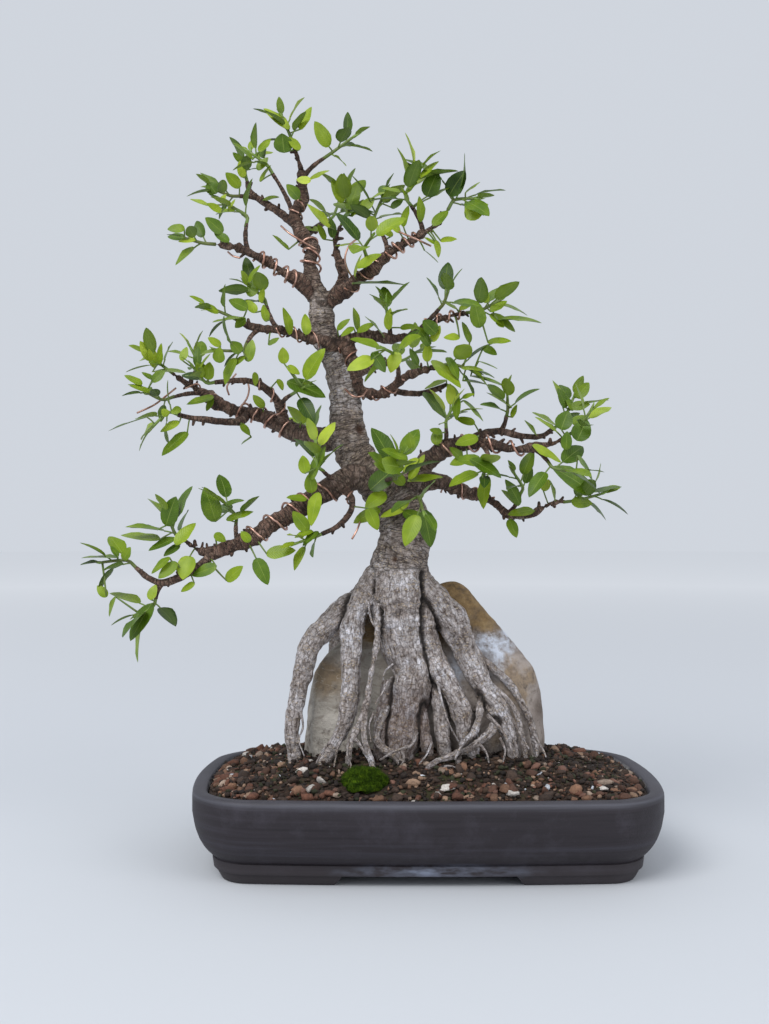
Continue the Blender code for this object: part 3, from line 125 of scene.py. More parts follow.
# Wood: points x, y, z and the radius there, in millimetres
FLARE_START = metres([(-20, 1, 238, 13)])[0]
TRUNK = metres([
    (-21, -2, 195, 23.4), (-22, 0, 218, 21.9), (-18, 0, 236, 20.7), (-14, 2, 253, 20.4),
    (-21, 4, 270, 19.7), (-32, 4, 285, 17.7), (-45, 2, 299, 16.1), (-55, 0, 311, 14.9),
    (-61, -2, 331, 14.1), (-62, -2, 355, 11.7), (-67, -2, 378, 10.9), (-76, -4, 397, 10.5),
    (-81, -6, 418, 9.7), (-81, -8, 434, 8.9),
])

ROOTS = {
    "far_left": [
        (-48, 0, 198, 10.2), (-59, -4, 194, 9.7), (-74, -8, 182, 9.3), (-88, -10, 166, 8.5),
        (-94, -12, 149, 7.7), (-99, -16, 122, 6.5), (-103, -18, 101, 5.7), (-100, -20, 66, 4.6),
    ],
    "left": [
        (-48, -8, 202, 10.1), (-56, -12, 184, 9.3), (-57, -18, 157, 8.4), (-58, -26, 124, 7.2),
        (-63, -30, 104, 6), (-71, -34, 89, 4.9), (-85, -36, 68, 3.4),
    ],
    "thin_front": [
        (-34, -16, 199, 3.8), (-38, -25, 167, 3), (-42, -31, 146, 2.6), (-45, -36, 124, 2.6),
        (-52, -41, 106, 2.6), (-58, -44, 90, 2.2), (-61, -46, 64, 1.9),
    ],
    "centre": [
        (-21, -2, 210, 22.6), (-17.5, -7, 168, 20), (-11, -10, 145, 16.2), (-14, -14, 122, 15.4),
        (-19, -18, 96, 14.6), (-22, -22, 62, 12.2),
    ],
    "centre_right": [
        (-6, -8, 195, 10.9), (2, -12, 164, 9.6), (14, -16, 138, 9.2), (26, -20, 118, 8.4),
        (32, -24, 93, 7.2), (34, -26, 63, 5.3),
    ],
    "right": [
        (-4, -4, 208, 12.5), (10, -6, 196, 11.7), (23, -8, 176, 10.9), (34, -10, 152, 9.7),
        (45, -14, 130, 8.9), (57, -18, 113, 8), (65, -20, 92, 6.5), (68, -22, 65, 4.6),
    ],
    "outer_right": [
        (34, -8, 160, 3.5), (61, -9, 138, 3.1), (73, -11, 121, 2.7), (82, -13, 100, 2.7),
        (86, -15, 66, 2.3),
    ],
    "twin_right": [(44, -13, 138, 2.3), (65, -20, 120, 1.9), (72, -25, 100, 1.9), (77, -28, 68, 1.6)],
    "inner_right": [
        (42, -14, 134, 3.8), (40, -26, 113, 3), (35, -33, 100, 3), (25, -38, 88, 2.6), (21, -40, 64, 2.2),
    ],
    "crossing": [
        (56, -19, 110, 3.8), (46, -31, 98, 3.4), (32, -38, 91, 3.4), (17, -43, 85, 3), (2, -47, 79, 3),
        (-12, -49, 63, 2.6),
    ],
    "middle_right": [(10, -13, 145, 6.2), (11, -20, 106, 5.4), (17, -26, 62, 4.2)],
    "middle": [(-8, -14, 134, 5.4), (-1, -25, 101, 4.6), (2, -29, 61, 3.4)],
    "middle_left": [(-28, -12, 136, 6.9), (-35, -24, 97, 5.7), (-30, -30, 62, 4.5)],
    "looping": [(-30, -18, 120, 3.4), (-38, -34, 96, 3), (-23, -41, 83, 3), (-4, -47, 64, 2.6)],
    "split": [(-47, -37, 119, 2.6), (-47, -45, 99, 2.2), (-42, -48, 83, 2.2), (-36, -50, 62, 1.9)],
    "back_left": [
        (-42, 8, 206, 9.5), (-58, 24, 193, 8.9), (-69, 42, 163, 7.8), (-75, 56, 120, 6.7),
        (-81, 62, 81, 5.5), (-85, 66, 50, 4.2),
    ],
    "back": [
        (-20, 10, 210, 10.3), (-18, 30, 198, 8.9), (-16, 52, 176, 7.9), (-12, 66, 135, 6.8),
        (-9, 72, 91, 5.5), (-7, 74, 50, 4.3),
    ],
}
ROOTS = {name: metres(points) for name, points in ROOTS.items()}

BRANCHES = {
    "leader": [
        (-81, -8, 428, 8.5), (-87, -8, 445, 6.6), (-90, -6, 461, 5.8), (-88, -4, 472, 5.5),
        (-96, -2, 483, 5.1), (-102, 0, 494, 4.7), (-102, 2, 503, 4.3), (-97, 2, 510, 3.9),
        (-96, 0, 521, 3.5), (-97, 0, 533, 3.1), (-100, -2, 544, 2.3), (-103, -2, 553, 1.6),
    ],
    "crown_left": [
        (-84, -7, 432, 6.2), (-97, -14, 444, 4.6), (-106, -18, 448, 4.2), (-119, -22, 456, 3.8),
        (-133, -26, 463, 3.4), (-143, -28, 467, 2.7), (-152, -30, 468, 2.3), (-162, -30, 469, 1.6),
    ],
    "crown_upper_left": [
        (-98, 0, 489, 3.5), (-115, 8, 504, 3.2), (-125, 14, 512, 2.8), (-133, 18, 518, 2.4),
        (-140, 20, 525, 2), (-142, 20, 532, 1.6),
    ],
    "crown_loop": [
        (-81, -6, 428, 5.8), (-69, 6, 442, 4.7), (-65, 12, 453, 4.4), (-67, 14, 465, 4),
        (-71, 14, 476, 3.2), (-70, 12, 487, 2.4), (-65, 10, 497, 1.6),
    ],
    "crown_right": [
        (-81, -8, 428, 7.2), (-62, -12, 438, 5.8), (-51, -15, 447, 5), (-42, -18, 452, 4.6),
        (-32, -20, 461, 4.2), (-22, -24, 468, 3.8), (-11, -26, 473, 3), (1, -28, 480, 2.7),
        (10, -30, 487, 1.9), (17, -30, 497, 1.6),
    ],
    "crown_back": [(-96, 0, 482, 3.5), (-92, 18, 491, 2.8), (-86, 34, 500, 2.4), (-79, 48, 509, 1.7)],
    "left_upper": [
        (-70, -4, 391, 5.8), (-77, -18, 398, 5), (-89, -24, 399, 4.6), (-100, -26, 402, 3.8),
        (-111, -28, 404, 3.4), (-125, -28, 406, 3), (-136, -30, 408, 2.3), (-144, -30, 412, 1.6),
    ],
    "left_mid": [
        (-61, 0, 331, 11), (-78, 8, 324, 9.5), (-91, 14, 329, 8.4), (-104, 18, 332, 7.6),
        (-116, 22, 337, 6.8), (-128, 26, 344, 6), (-141, 28, 348, 5.3), (-153, 30, 350, 4.9),
        (-166, 32, 355, 4.5), (-175, 32, 362, 4.1), (-186, 32, 368, 3.2), (-196, 32, 374, 2.4),
        (-205, 32, 381, 1.6),
    ],
    "left_limb": [
        (-112, 21, 336, 4.4), (-114, 10, 348, 4), (-118, 4, 357, 3.1), (-128, 0, 366, 2.7),
        (-137, -4, 369, 2.3), (-148, -8, 369, 1.9), (-163, -12, 367, 1.6),
    ],
    "left_mid_lower": [
        (-143, 28, 347, 3.6), (-147, 18, 340, 3.2), (-161, 10, 339, 2.8), (-173, 4, 340, 2.4),
        (-184, 0, 341, 2), (-193, -4, 343, 1.6),
    ],
    "right_mid_lower": [
        (-76, -4, 400, 5.4), (-62, -12, 395, 5.4), (-56, -15, 383, 5), (-53, -14, 371, 4.6),
        (-49, -10, 361, 4.3), (-37, -10, 358, 3.9), (-26, -13, 363, 3.5), (-15, -17, 371, 3.1),
        (-1, -20, 376, 2.7), (10, -22, 378, 1.6),
    ],
    "right_mid_upper": [
        (-76, -4, 397, 5.4), (-57, -14, 401, 4.6), (-43, -18, 402, 4.2), (-28, -22, 399, 3.4),
        (-13, -24, 401, 3), (2, -28, 410, 2.7), (19, -30, 415, 2.3), (32, -32, 417, 1.6),
    ],
    "right_mid_second": [
        (-28, -12, 362, 2.7), (-18, -5, 360, 2.3), (-4, 0, 360, 2.3), (9, 5, 364, 2), (17, 8, 368, 1.6),
    ],
    "back_mid": [(-66, -2, 367, 4.6), (-57, 26, 377, 3.6), (-42, 44, 387, 2.9), (-23, 60, 394, 1.7)],
    "right_low_upper": [
        (-26, 4, 276, 11), (-11, 0, 293, 9.4), (-1, -6, 305, 7.8), (11, -12, 313, 6.6), (22, -16, 318, 5.8),
        (37, -20, 320, 5), (52, -24, 318, 4.2), (67, -28, 314, 3.4), (82, -30, 316, 3), (97, -32, 319, 2.3),
        (107, -34, 325, 1.6),
    ],
    "right_low_lower": [
        (-24, 4, 270, 10.2), (-4, 12, 289, 7.9), (12, 18, 292, 6.8), (25, 22, 287, 5.6), (37, 24, 282, 4.8),
        (47, 26, 280, 4.4), (58, 28, 274, 4), (69, 28, 265, 3.6), (83, 28, 264, 3.2), (94, 28, 270, 2.8),
        (103, 28, 275, 2.4), (115, 28, 276, 1.6),
    ],
    "right_low_top": [
        (32, -18, 320, 3.8), (43, -10, 327, 3.1), (58, -4, 330, 2.7), (74, 2, 327, 2.4), (91, 6, 327, 2),
        (101, 8, 333, 1.6),
    ],
    "left_low": [
        (-34, 2, 284, 12.6), (-49, -8, 293, 10.9), (-62, -14, 292, 9.6), (-77, -20, 282, 8.8),
        (-92, -24, 273, 8), (-104, -28, 265, 7.6), (-122, -32, 254, 6.8), (-137, -34, 245, 6),
        (-152, -36, 239, 5.3), (-164, -36, 236, 4.5), (-173, -36, 239, 3), (-182, -36, 245, 1.6),
    ],
    "left_low_tip": [
        (-157, -36, 238, 3.7), (-167, -40, 229, 3), (-180, -44, 220, 3), (-195, -46, 214, 2.6),
        (-206, -46, 217, 2.2), (-216, -46, 225, 1.6),
    ],
    "left_loop": [
        (-67, -16, 289, 3.5), (-57, -29, 277, 2.7), (-58, -33, 266, 2.3), (-67, -35, 256, 1.9),
        (-79, -36, 250, 1.6),
    ],
    "back_low": [(-56, 0, 311, 6), (-63, 28, 319, 4), (-73, 50, 327, 3.3), (-85, 66, 332, 1.7)],
}
BRANCHES = {name: metres(points) for name, points in BRANCHES.items()}
CARRIERS = {"trunk": TRUNK, **BRANCHES}

# Leafy shoots by region, in millimetres: branch, place along it (0 to 1), tip of the woody twig (None where
# the branch itself ends there), tip of the green shoot, number of leaves and length of the longest blade
SHOOT_TABLE = {
    "crown": [
        ("leader", 1.00, None, (-111, -6, 573), 7, 24),
        ("leader", 0.78, (-78, -8, 542), (-57, -14, 555), 6, 22),
        ("leader", 0.50, (-119, -6, 530), (-136, -10, 545), 5, 20),
        ("crown_upper_left", 0.60, (-147, 12, 518), (-168, 4, 522), 5, 22),
        ("crown_upper_left", 1.00, None, (-140, 24, 556), 5, 20),
        ("crown_left", 1.00, None, (-182, -36, 472), 5, 20),
        ("crown_left", 0.60, (-137, -24, 486), (-151, -28, 499), 5, 22),
        ("crown_loop", 1.00, None, (-62, 6, 521), 6, 24),
        ("crown_right", 0.47, (-37, -10, 487), (-32, -8, 514), 6, 26),
        ("crown_right", 0.74, (-12, -34, 497), (-6, -42, 521), 7, 28),
        ("crown_right", 1.00, None, (35, -38, 501), 5, 27),
        ("crown_right", 0.28, (-46, -38, 459), (-41, -60, 467), 4, 30),
        ("crown_back", 1.00, None, (-70, 68, 532), 6, 24),
    ],
    "left_upper": [
        ("left_upper", 0.58, (-122, -22, 424), (-136, -20, 440), 6, 25),
        ("left_upper", 1.00, None, (-165, -34, 421), 5, 20),
        ("left_upper", 0.72, (-135, -40, 392), (-153, -52, 385), 5, 22),
    ],
    "left_mid": [
        ("left_mid", 1.00, None, (-225, 34, 396), 6, 22),
        ("left_mid", 0.86, (-183, 20, 381), (-186, 12, 398), 5, 20),
        ("left_limb", 1.00, None, (-177, -22, 376), 5, 20),
        ("left_mid", 0.78, (-202, 18, 359), (-227, 10, 366), 5, 18),
        ("left_mid_lower", 1.00, None, (-212, -10, 332), 5, 28),
        ("left_limb", 0.20, (-103, -12, 358), (-91, -28, 362), 3, 32),
    ],
    "right_mid": [
        ("right_mid_upper", 0.42, (-29, -32, 410), (-31, -40, 422), 5, 22),
        ("right_mid_upper", 0.66, (9, -42, 418), (15, -52, 429), 5, 24),
        ("right_mid_upper", 1.00, None, (55, -34, 426), 6, 28),
        ("right_mid_lower", 1.00, None, (36, -26, 374), 6, 24),
        ("right_mid_lower", 0.70, (-23, -38, 379), (-31, -62, 384), 5, 27),
        ("back_mid", 1.00, None, (-2, 80, 407), 6, 24),
    ],
    "right_low": [
        ("right_low_upper", 0.32, (15, -22, 331), (19, -28, 345), 6, 23),
        ("right_low_top", 0.40, (62, -14, 341), (62, -20, 355), 5, 24),
        ("right_low_top", 1.00, None, (118, 12, 358), 6, 25),
        ("right_low_upper", 1.00, None, (121, -42, 341), 5, 25),
        ("right_low_upper", 0.78, (90, -40, 304), (111, -46, 296), 5, 30),
        ("right_low_upper", 0.52, (46, -44, 305), (40, -64, 294), 5, 27),
        ("right_low_lower", 0.62, (76, 12, 282), (70, 2, 297), 5, 24),
        ("right_low_lower", 1.00, None, (142, 26, 282), 6, 26),
    ],
    "trunk_front": [
        ("trunk", 0.38, (-25, -50, 291), (-22, -66, 306), 6, 30),
        ("trunk", 0.30, (-9, -48, 277), (-4, -68, 266), 5, 30),
    ],
    "left_low": [
        ("left_low", 0.20, (-79, -36, 298), (-83, -42, 316), 5, 28),
        ("left_loop", 1.00, None, (-95, -44, 244), 5, 22),
        ("left_low", 0.66, (-145, -24, 258), (-156, -22, 276), 5, 28),
        ("left_low", 1.00, None, (-194, -40, 264), 5, 28),
        ("left_low_tip", 1.00, None, (-241, -46, 229), 5, 24),
        ("left_low_tip", 0.62, (-202, -44, 202), (-214, -44, 191), 5, 32),
        ("back_low", 1.00, None, (-105, 86, 344), 6, 24),
    ],
}
SHOOTS = [
    (region, host, share, tip and metres([tip])[0], metres([end])[0], count, longest / 1000)
    for region, rows in SHOOT_TABLE.items() for host, share, tip, end, count, longest in rows
]

TWIG_RINGS = 4
TWIG_ROOT_RADIUS = 0.0020
TWIG_TIP_RADIUS = 0.0014
SHOOT_RINGS = 4
SHOOT_ROOT_RADIUS = 0.0014
SHOOT_TIP_RADIUS = 0.0011

# Leaves: shares of the blade's length unless a unit is named
LEAF_SEED = 43
BLADE_WIDTH = 0.50
PETIOLE = 0.26
PETIOLE_RADIUS = 0.0005
BLADE_HALF_THICKNESS = 0.0005
BLADE_FOLD = 0.28
BLADE_DROOP = 0.16
# Place along the blade and half width there
BLADE_STATIONS = [(0.30, 0.86), (0.66, 0.90)]
LEAF_TRIES = 40
LEAF_CLEARANCE = 0.0006
WOOD_CLEARANCE = 0.0011

# Training wires: name, branch, first and last place along it, turns (negative is the other sense) and the
# angle in degrees where the coil starts
WIRE_RADIUS = 0.0011
WIRE_SEAT = 0.0006
WIRES = [
    ("wire_left_low", "left_low", 0.24, 0.62, 5.0, 0),
    ("wire_left_mid", "left_mid", 0.28, 0.58, -3.5, 210),
    ("wire_crown_left", "crown_left", 0.18, 0.54, 4.0, 30),
    ("wire_crown_right", "crown_right", 0.48, 0.70, 3.0, 0),
    ("wire_right_mid", "right_mid_upper", 0.70, 0.94, -3.0, 300),
    ("wire_right_low", "right_low_upper", 0.34, 0.74, 3.5, 330),
    ("wire_leader", "leader", 0.12, 0.34, -3.0, 60),
]

WIRED = {row[1] for row in WIRES}

BUD_LENGTH = 0.0085
SEEN_SEED = 7
# Leaves as the picture shows them: column and row of the blade's foot and of its tip, its width in pixels and
# its shade from 0, dark, to 100, how bright it looks, which sets its colour and so paints in its light and
# shade along with its own green
SEEN_LEAVES = [
    (290, 129, 265, 106, 12, 75), (300, 130, 311, 106, 11, 65), (329, 147, 315, 121, 15, 60),
    (284, 153, 282, 133, 19, 22), (300, 150, 288, 136, 9, 60), (259, 152, 270, 137, 9, 60),
    (253, 160, 233, 141, 6, 45), (243, 163, 233, 152, 7, 30), (257, 170, 268, 157, 9, 50),
    (260, 182, 270, 164, 6, 62), (243, 178, 240, 160, 9, 75), (240, 188, 226, 172, 12, 50),
    (216, 194, 208, 181, 14, 30), (210, 206, 190, 198, 6, 60), (223, 233, 206, 217, 13, 28),
    (229, 242, 214, 231, 9, 32), (185, 229, 167, 228, 10, 45), (196, 240, 178, 241, 7, 70),
    (228, 212, 234, 198, 5, 62), (220, 203, 226, 194, 6, 70), (222, 212, 207, 203, 8, 72),
    (263, 200, 279, 196, 6, 50), (299, 199, 287, 184, 12, 38), (311, 181, 296, 179, 9, 82),
    (309, 180, 328, 168, 7, 62), (343, 203, 332, 180, 11, 65), (349, 210, 358, 184, 15, 42),
    (362, 210, 374, 197, 11, 60), (385, 203, 388, 190, 11, 28), (388, 192, 367, 198, 5, 60),
    (330, 228, 308, 203, 10, 76), (333, 238, 331, 218, 9, 24), (322, 230, 302, 227, 7, 70),
    (325, 240, 318, 224, 7, 55), (343, 218, 361, 203, 7, 28), (352, 217, 362, 198, 7, 55),
    (336, 246, 362, 242, 5, 60), (289, 250, 274, 233, 5, 50), (249, 286, 242, 270, 7, 50),
    (249, 283, 259, 264, 7, 52), (250, 297, 256, 278, 13, 42), (261, 303, 263, 286, 7, 64),
    (248, 309, 229, 299, 12, 38), (256, 313, 246, 299, 10, 62), (219, 313, 199, 302, 8, 55),
    (246, 318, 212, 320, 6, 50), (246, 319, 234, 327, 10, 44), (266, 322, 264, 304, 8, 55),
    (290, 335, 285, 307, 8, 60), (306, 335, 306, 313, 10, 65), (443, 181, 407, 154, 10, 26),
    (420, 180, 406, 161, 10, 60), (420, 178, 437, 159, 8, 60), (427, 197, 437, 171, 19, 8),
    (449, 196, 464, 170, 19, 8), (465, 217, 487, 203, 19, 60), (465, 193, 480, 181, 4, 50),
    (433, 226, 448, 209, 11, 38), (401, 192, 382, 186, 6, 50), (409, 205, 402, 186, 5, 45),
    (403, 227, 408, 205, 8, 52), (391, 208, 403, 199, 8, 28), (400, 233, 388, 219, 8, 60),
    (393, 236, 381, 228, 7, 70), (421, 222, 420, 196, 9, 48), (430, 198, 449, 186, 6, 50),
    (407, 193, 417, 181, 5, 40), (357, 268, 380, 252, 11, 72), (355, 277, 359, 253, 4, 60),
    (352, 284, 408, 280, 6, 36), (440, 241, 457, 238, 7, 65), (436, 240, 440, 257, 7, 60),
    (437, 245, 425, 236, 5, 50), (424, 250, 439, 262, 3, 40), (487, 303, 480, 285, 10, 60),
    (480, 328, 475, 300, 17, 38), (490, 312, 507, 300, 9, 48), (497, 320, 542, 317, 8, 44),
    (497, 320, 504, 327, 8, 55), (457, 309, 442, 299, 5, 45), (459, 309, 472, 304, 6, 55),
    (436, 334, 423, 320, 15, 22), (432, 342, 440, 325, 9, 65), (430, 346, 418, 326, 11, 30),
    (470, 343, 464, 321, 8, 38), (460, 337, 444, 337, 8, 60), (487, 342, 511, 339, 8, 60),
    (483, 347, 497, 354, 9, 28), (388, 330, 390, 308, 9, 65), (357, 330, 355, 307, 7, 55),
    (357, 332, 375, 322, 8, 55), (354, 327, 341, 336, 7, 50), (337, 330, 349, 318, 7, 50),
    (400, 328, 416, 325, 7, 55), (384, 337, 367, 314, 3, 45), (374, 358, 347, 368, 14, 76),
    (372, 352, 386, 372, 13, 26), (398, 352, 390, 372, 14, 76), (427, 362, 428, 343, 10, 70),
    (418, 365, 410, 348, 8, 28), (432, 360, 462, 386, 14, 60), (447, 357, 460, 378, 10, 32),
    (461, 368, 484, 369, 6, 60), (470, 376, 505, 384, 5, 38), (462, 381, 488, 383, 4, 34),
    (478, 361, 498, 368, 3, 45), (447, 380, 424, 388, 6, 55), (424, 392, 447, 418, 12, 33),
    (448, 384, 460, 401, 9, 50), (458, 398, 455, 420, 8, 38), (463, 400, 485, 420, 6, 38),
    (475, 424, 456, 417, 9, 60), (462, 398, 474, 393, 5, 50), (512, 408, 487, 391, 4, 50),
    (512, 418, 516, 404, 5, 50), (576, 398, 589, 382, 13, 42), (570, 407, 590, 404, 10, 50),
    (566, 408, 559, 388, 10, 22), (573, 411, 566, 394, 7, 34), (561, 430, 568, 410, 17, 22),
    (577, 441, 587, 419, 19, 28), (556, 425, 534, 410, 6, 55), (557, 432, 536, 415, 6, 50),
    (536, 435, 526, 419, 5, 40), (566, 450, 567, 431, 11, 34), (532, 445, 563, 460, 10, 72),
    (590, 491, 555, 465, 20, 32), (577, 455, 595, 480, 7, 34), (590, 493, 621, 483, 4, 34),
    (571, 502, 593, 503, 12, 40), (543, 491, 549, 479, 9, 65), (555, 500, 551, 480, 5, 45),
    (520, 505, 508, 479, 12, 28), (519, 506, 503, 488, 8, 50), (534, 510, 508, 513, 9, 44),
    (509, 519, 517, 537, 11, 38), (470, 459, 502, 476, 13, 24), (478, 437, 456, 443, 12, 50),
    (436, 445, 438, 427, 12, 44), (442, 433, 430, 429, 7, 45), (412, 449, 409, 432, 9, 48),
    (463, 460, 450, 447, 9, 34), (468, 458, 450, 464, 10, 55), (408, 460, 383, 447, 10, 38),
    (404, 468, 374, 462, 18, 38), (370, 490, 396, 466, 20, 16), (404, 485, 391, 470, 12, 44),
    (410, 480, 423, 453, 9, 70), (418, 458, 402, 470, 8, 70), (407, 481, 443, 474, 8, 60),
    (386, 493, 365, 507, 15, 60), (404, 510, 380, 515, 8, 76), (368, 508, 378, 530, 13, 55),
    (403, 511, 437, 530, 14, 33), (401, 509, 409, 501, 6, 60), (380, 509, 353, 522, 13, 50),
    (151, 361, 141, 341, 10, 76), (154, 368, 152, 344, 8, 76), (160, 365, 160, 343, 8, 60),
    (182, 361, 186, 346, 9, 60), (152, 372, 185, 368, 6, 44), (152, 382, 165, 370, 10, 44),
    (142, 385, 125, 373, 7, 50), (152, 393, 130, 384, 6, 55), (153, 380, 142, 371, 5, 34),
    (200, 368, 210, 353, 4, 50), (208, 380, 209, 362, 13, 48), (203, 378, 197, 362, 7, 50),
    (219, 363, 219, 347, 13, 50), (221, 346, 208, 337, 8, 62), (241, 353, 231, 341, 12, 38),
    (248, 362, 252, 339, 12, 52), (246, 356, 229, 367, 7, 44), (284, 364, 283, 347, 11, 66),
    (287, 366, 300, 374, 8, 55), (287, 381, 326, 394, 16, 26), (268, 345, 279, 337, 6, 36),
    (264, 408, 253, 394, 9, 55), (301, 422, 311, 414, 8, 50), (214, 397, 186, 403, 9, 44),
    (213, 398, 206, 411, 7, 38), (168, 416, 162, 409, 8, 60), (181, 408, 171, 413, 8, 55),
    (180, 422, 159, 430, 9, 55), (188, 432, 160, 453, 13, 32), (148, 417, 107, 428, 4, 34),
    (241, 424, 250, 435, 7, 50), (252, 437, 240, 443, 3, 40), (255, 372, 256, 386, 6, 50),
    (278, 379, 283, 390, 6, 60), (166, 526, 174, 497, 19, 22), (216, 522, 205, 487, 19, 32),
    (223, 505, 243, 498, 5, 34), (226, 520, 253, 510, 8, 44), (175, 545, 195, 522, 13, 60),
    (176, 538, 148, 550, 9, 32), (160, 540, 121, 530, 8, 50), (158, 530, 126, 523, 4, 44),
    (123, 560, 130, 547, 10, 48), (118, 557, 111, 545, 5, 38), (118, 558, 78, 554, 3, 34),
    (170, 557, 150, 572, 8, 50), (177, 562, 158, 578, 12, 44), (190, 556, 182, 579, 19, 60),
    (217, 566, 191, 575, 12, 26), (180, 545, 163, 555, 8, 24), (226, 581, 242, 566, 12, 55),
    (195, 583, 180, 591, 7, 55), (214, 534, 226, 541, 9, 50), (250, 542, 241, 531, 9, 50),
    (256, 558, 268, 584, 15, 26), (266, 554, 295, 549, 13, 44), (107, 597, 97, 585, 9, 50),
    (116, 596, 107, 616, 6, 44), (152, 603, 129, 640, 17, 26), (150, 600, 155, 584, 10, 60),
    (305, 474, 303, 455, 12, 60), (312, 480, 323, 443, 12, 44), (312, 493, 309, 474, 13, 50),
    (318, 492, 309, 525, 14, 60), (307, 499, 287, 496, 7, 50), (313, 531, 294, 536, 6, 50),
    (318, 531, 302, 545, 7, 34),
]
SEEN_STALK = 0.00062
SEEN_TWIG = 0.0009

# Blade of the finished leaves: places along it, places across it and how far the edge waves
BLADE_ALONG = (0.045, 0.15, 0.30, 0.47, 0.64, 0.80, 0.93)
BLADE_ACROSS = (-1.0, -0.5, 0.0, 0.5, 1.0)
BLADE_THICKNESS = 0.00045
EDGE_WAVE = 0.05

# Bark: ring spacing along the wood, the grid that melts the thick wood together, and its relief
RING_STEP = 0.0022
MELT_GRID = 0.00138
MELT_PASSES = 5
THICK_WOOD = 0.0052
# How close two roots' skins come where a crease lies between them, which is pushed in and darkened with
# painted shade
CREASE = 0.0030
# Knots, scars and burls, in millimetres: place, radius, height of the swelling and depth of the hole in it;
# last the brown share in thousandths
KNOTS = metres([
    (-50.5, -12.5, 331, 7.8, 2.6, 3.6, 1000), (-7, -20.5, 243, 4.6, 0.8, 3, 1000),
    (-24.5, -21, 231, 4, 0.6, 2.6, 1000), (-24, -20, 254, 3.4, 0.5, 1.6, 800),
    (30, -15, 190, 9.5, 4, 0, 300), (12, -18, 206, 8, 2, 0, 100), (-18, -26, 133, 9, 2.6, 0, 100),
    (0, -24, 148, 7, 1.8, 0, 0), (-74, -15, 414, 5, 1.5, 0.8, 400), (-48, 12, 305, 8, 2.5, 0, 200),
])

# Fine roots on the root mass: picture columns and rows of their points, and their radius in metres
ROOTLETS = [
    ([(367, 594), (371, 619), (378, 632), (381, 646)], 0.0009),
    ([(393, 664), (385, 671), (383, 680)], 0.0007),
    ([(389, 680), (381, 695), (375, 704)], 0.0010),
    ([(301, 712), (303, 727), (299, 740), (304, 756)], 0.0009),
    ([(343, 735), (337, 750), (334, 767)], 0.0011),
    ([(349, 738), (347, 754), (351, 766), (347, 775)], 0.0009),
    ([(354, 738), (361, 746), (367, 757), (374, 767)], 0.0015),
    ([(417, 732), (411, 745), (395, 751), (380, 760)], 0.0014),
    ([(401, 749), (404, 759), (398, 770)], 0.0010),
    ([(438, 684), (443, 706), (450, 726), (458, 741)], 0.0009),
    ([(468, 737), (460, 748), (455, 760)], 0.0015),
    ([(487, 715), (499, 727), (508, 741), (514, 757)], 0.0015),
    ([(512, 719), (519, 732), (529, 749)], 0.0011),
    ([(530, 727), (538, 741), (544, 752), (546, 757)], 0.0011),
    ([(478, 742), (486, 752), (489, 763)], 0.0010),
    ([(441, 768), (450, 766), (462, 770)], 0.0010),
    ([(432, 742), (427, 754), (419, 764)], 0.0009),
    ([(374, 712), (369, 726), (371, 742)], 0.0008),
    ([(330, 742), (322, 752), (316, 764)], 0.0011),
    ([(500, 738), (505, 750), (503, 762)], 0.0010),
]
ROOTLET_DEPTH = (-24, -0.20)

# More coils of wire than the solids carry: branch, first and last place, turns and starting angle
EXTRA_COILS = [
    ("right_mid_lower", 0.10, 0.26, 1.5, 40),
    ("right_mid_lower", 0.52, 0.76, 2.0, 10),
    ("left_loop", 0.04, 0.36, 1.5, 0),
    ("right_low_lower", 0.20, 0.52, 2.5, 90),
    ("crown_right", 0.12, 0.40, 2.0, 20),
    ("left_upper", 0.16, 0.60, 2.5, 0),
    ("left_limb", 0.15, 0.60, 2.5, 50),
    ("leader", 0.46, 0.68, -2.0, 20),
    ("left_mid", 0.66, 0.88, -2.0, 100),
]
# Free ends and hooks of wire: picture column, row and depth in millimetres
WIRE_ENDS = [
    [(176, 388, 28), (166, 396, 24), (154, 405, 20), (137, 413, 18)],
    [(236, 374, 12), (231, 380, 4), (227, 387, 4), (229, 395, 8)],
    [(246, 378, 10), (249, 388, 2), (247, 398, 2), (240, 408, 8)],
    [(228, 252, -26), (233, 256, -34), (240, 258, -36)],
    [(281, 226, -10), (289, 233, -16), (300, 240, -18), (316, 249, -12)],
    [(358, 238, -20), (349, 246, -26), (345, 258, -28), (347, 268, -24), (352, 277, -18)],
    [(394, 229, -26), (404, 234, -34), (416, 239, -34), (431, 246, -28)],
    [(360, 522, -30), (357, 530, -34), (352, 539, -36)],
    [(345, 389, -18), (353, 396, -26), (362, 396, -24), (367, 390, -18)],
]
SEEN_WIRE_RADIUS = 0.0009
THIN_WIRE_RADIUS = 0.00075
SPUR_STEP = 0.009

# Gravel: how many stones of each kind, their mean radius and their colours
PEBBLES = 900
PEBBLE_RADIUS = 0.0023
GRAINS = 5600
GRAIN_RADIUS = 0.00125
GRAVEL_SEED = 11
GRAVEL_COLOURS = [
    (0.120, 0.050, 0.030), (0.085, 0.040, 0.025), (0.190, 0.100, 0.060), (0.260, 0.165, 0.110),
    (0.050, 0.030, 0.021), (0.170, 0.085, 0.060), (0.350, 0.260, 0.200), (0.520, 0.480, 0.440),
    (0.560, 0.590, 0.640),
]
GRAVEL_SHARES = [0.18, 0.18, 0.13, 0.11, 0.19, 0.10, 0.06, 0.03, 0.02]
HUMUS_COLOURS = [(0.018, 0.011, 0.008), (0.034, 0.019, 0.012), (0.060, 0.033, 0.019), (0.030, 0.032, 0.012)]
MOSS_THREADS = 3600
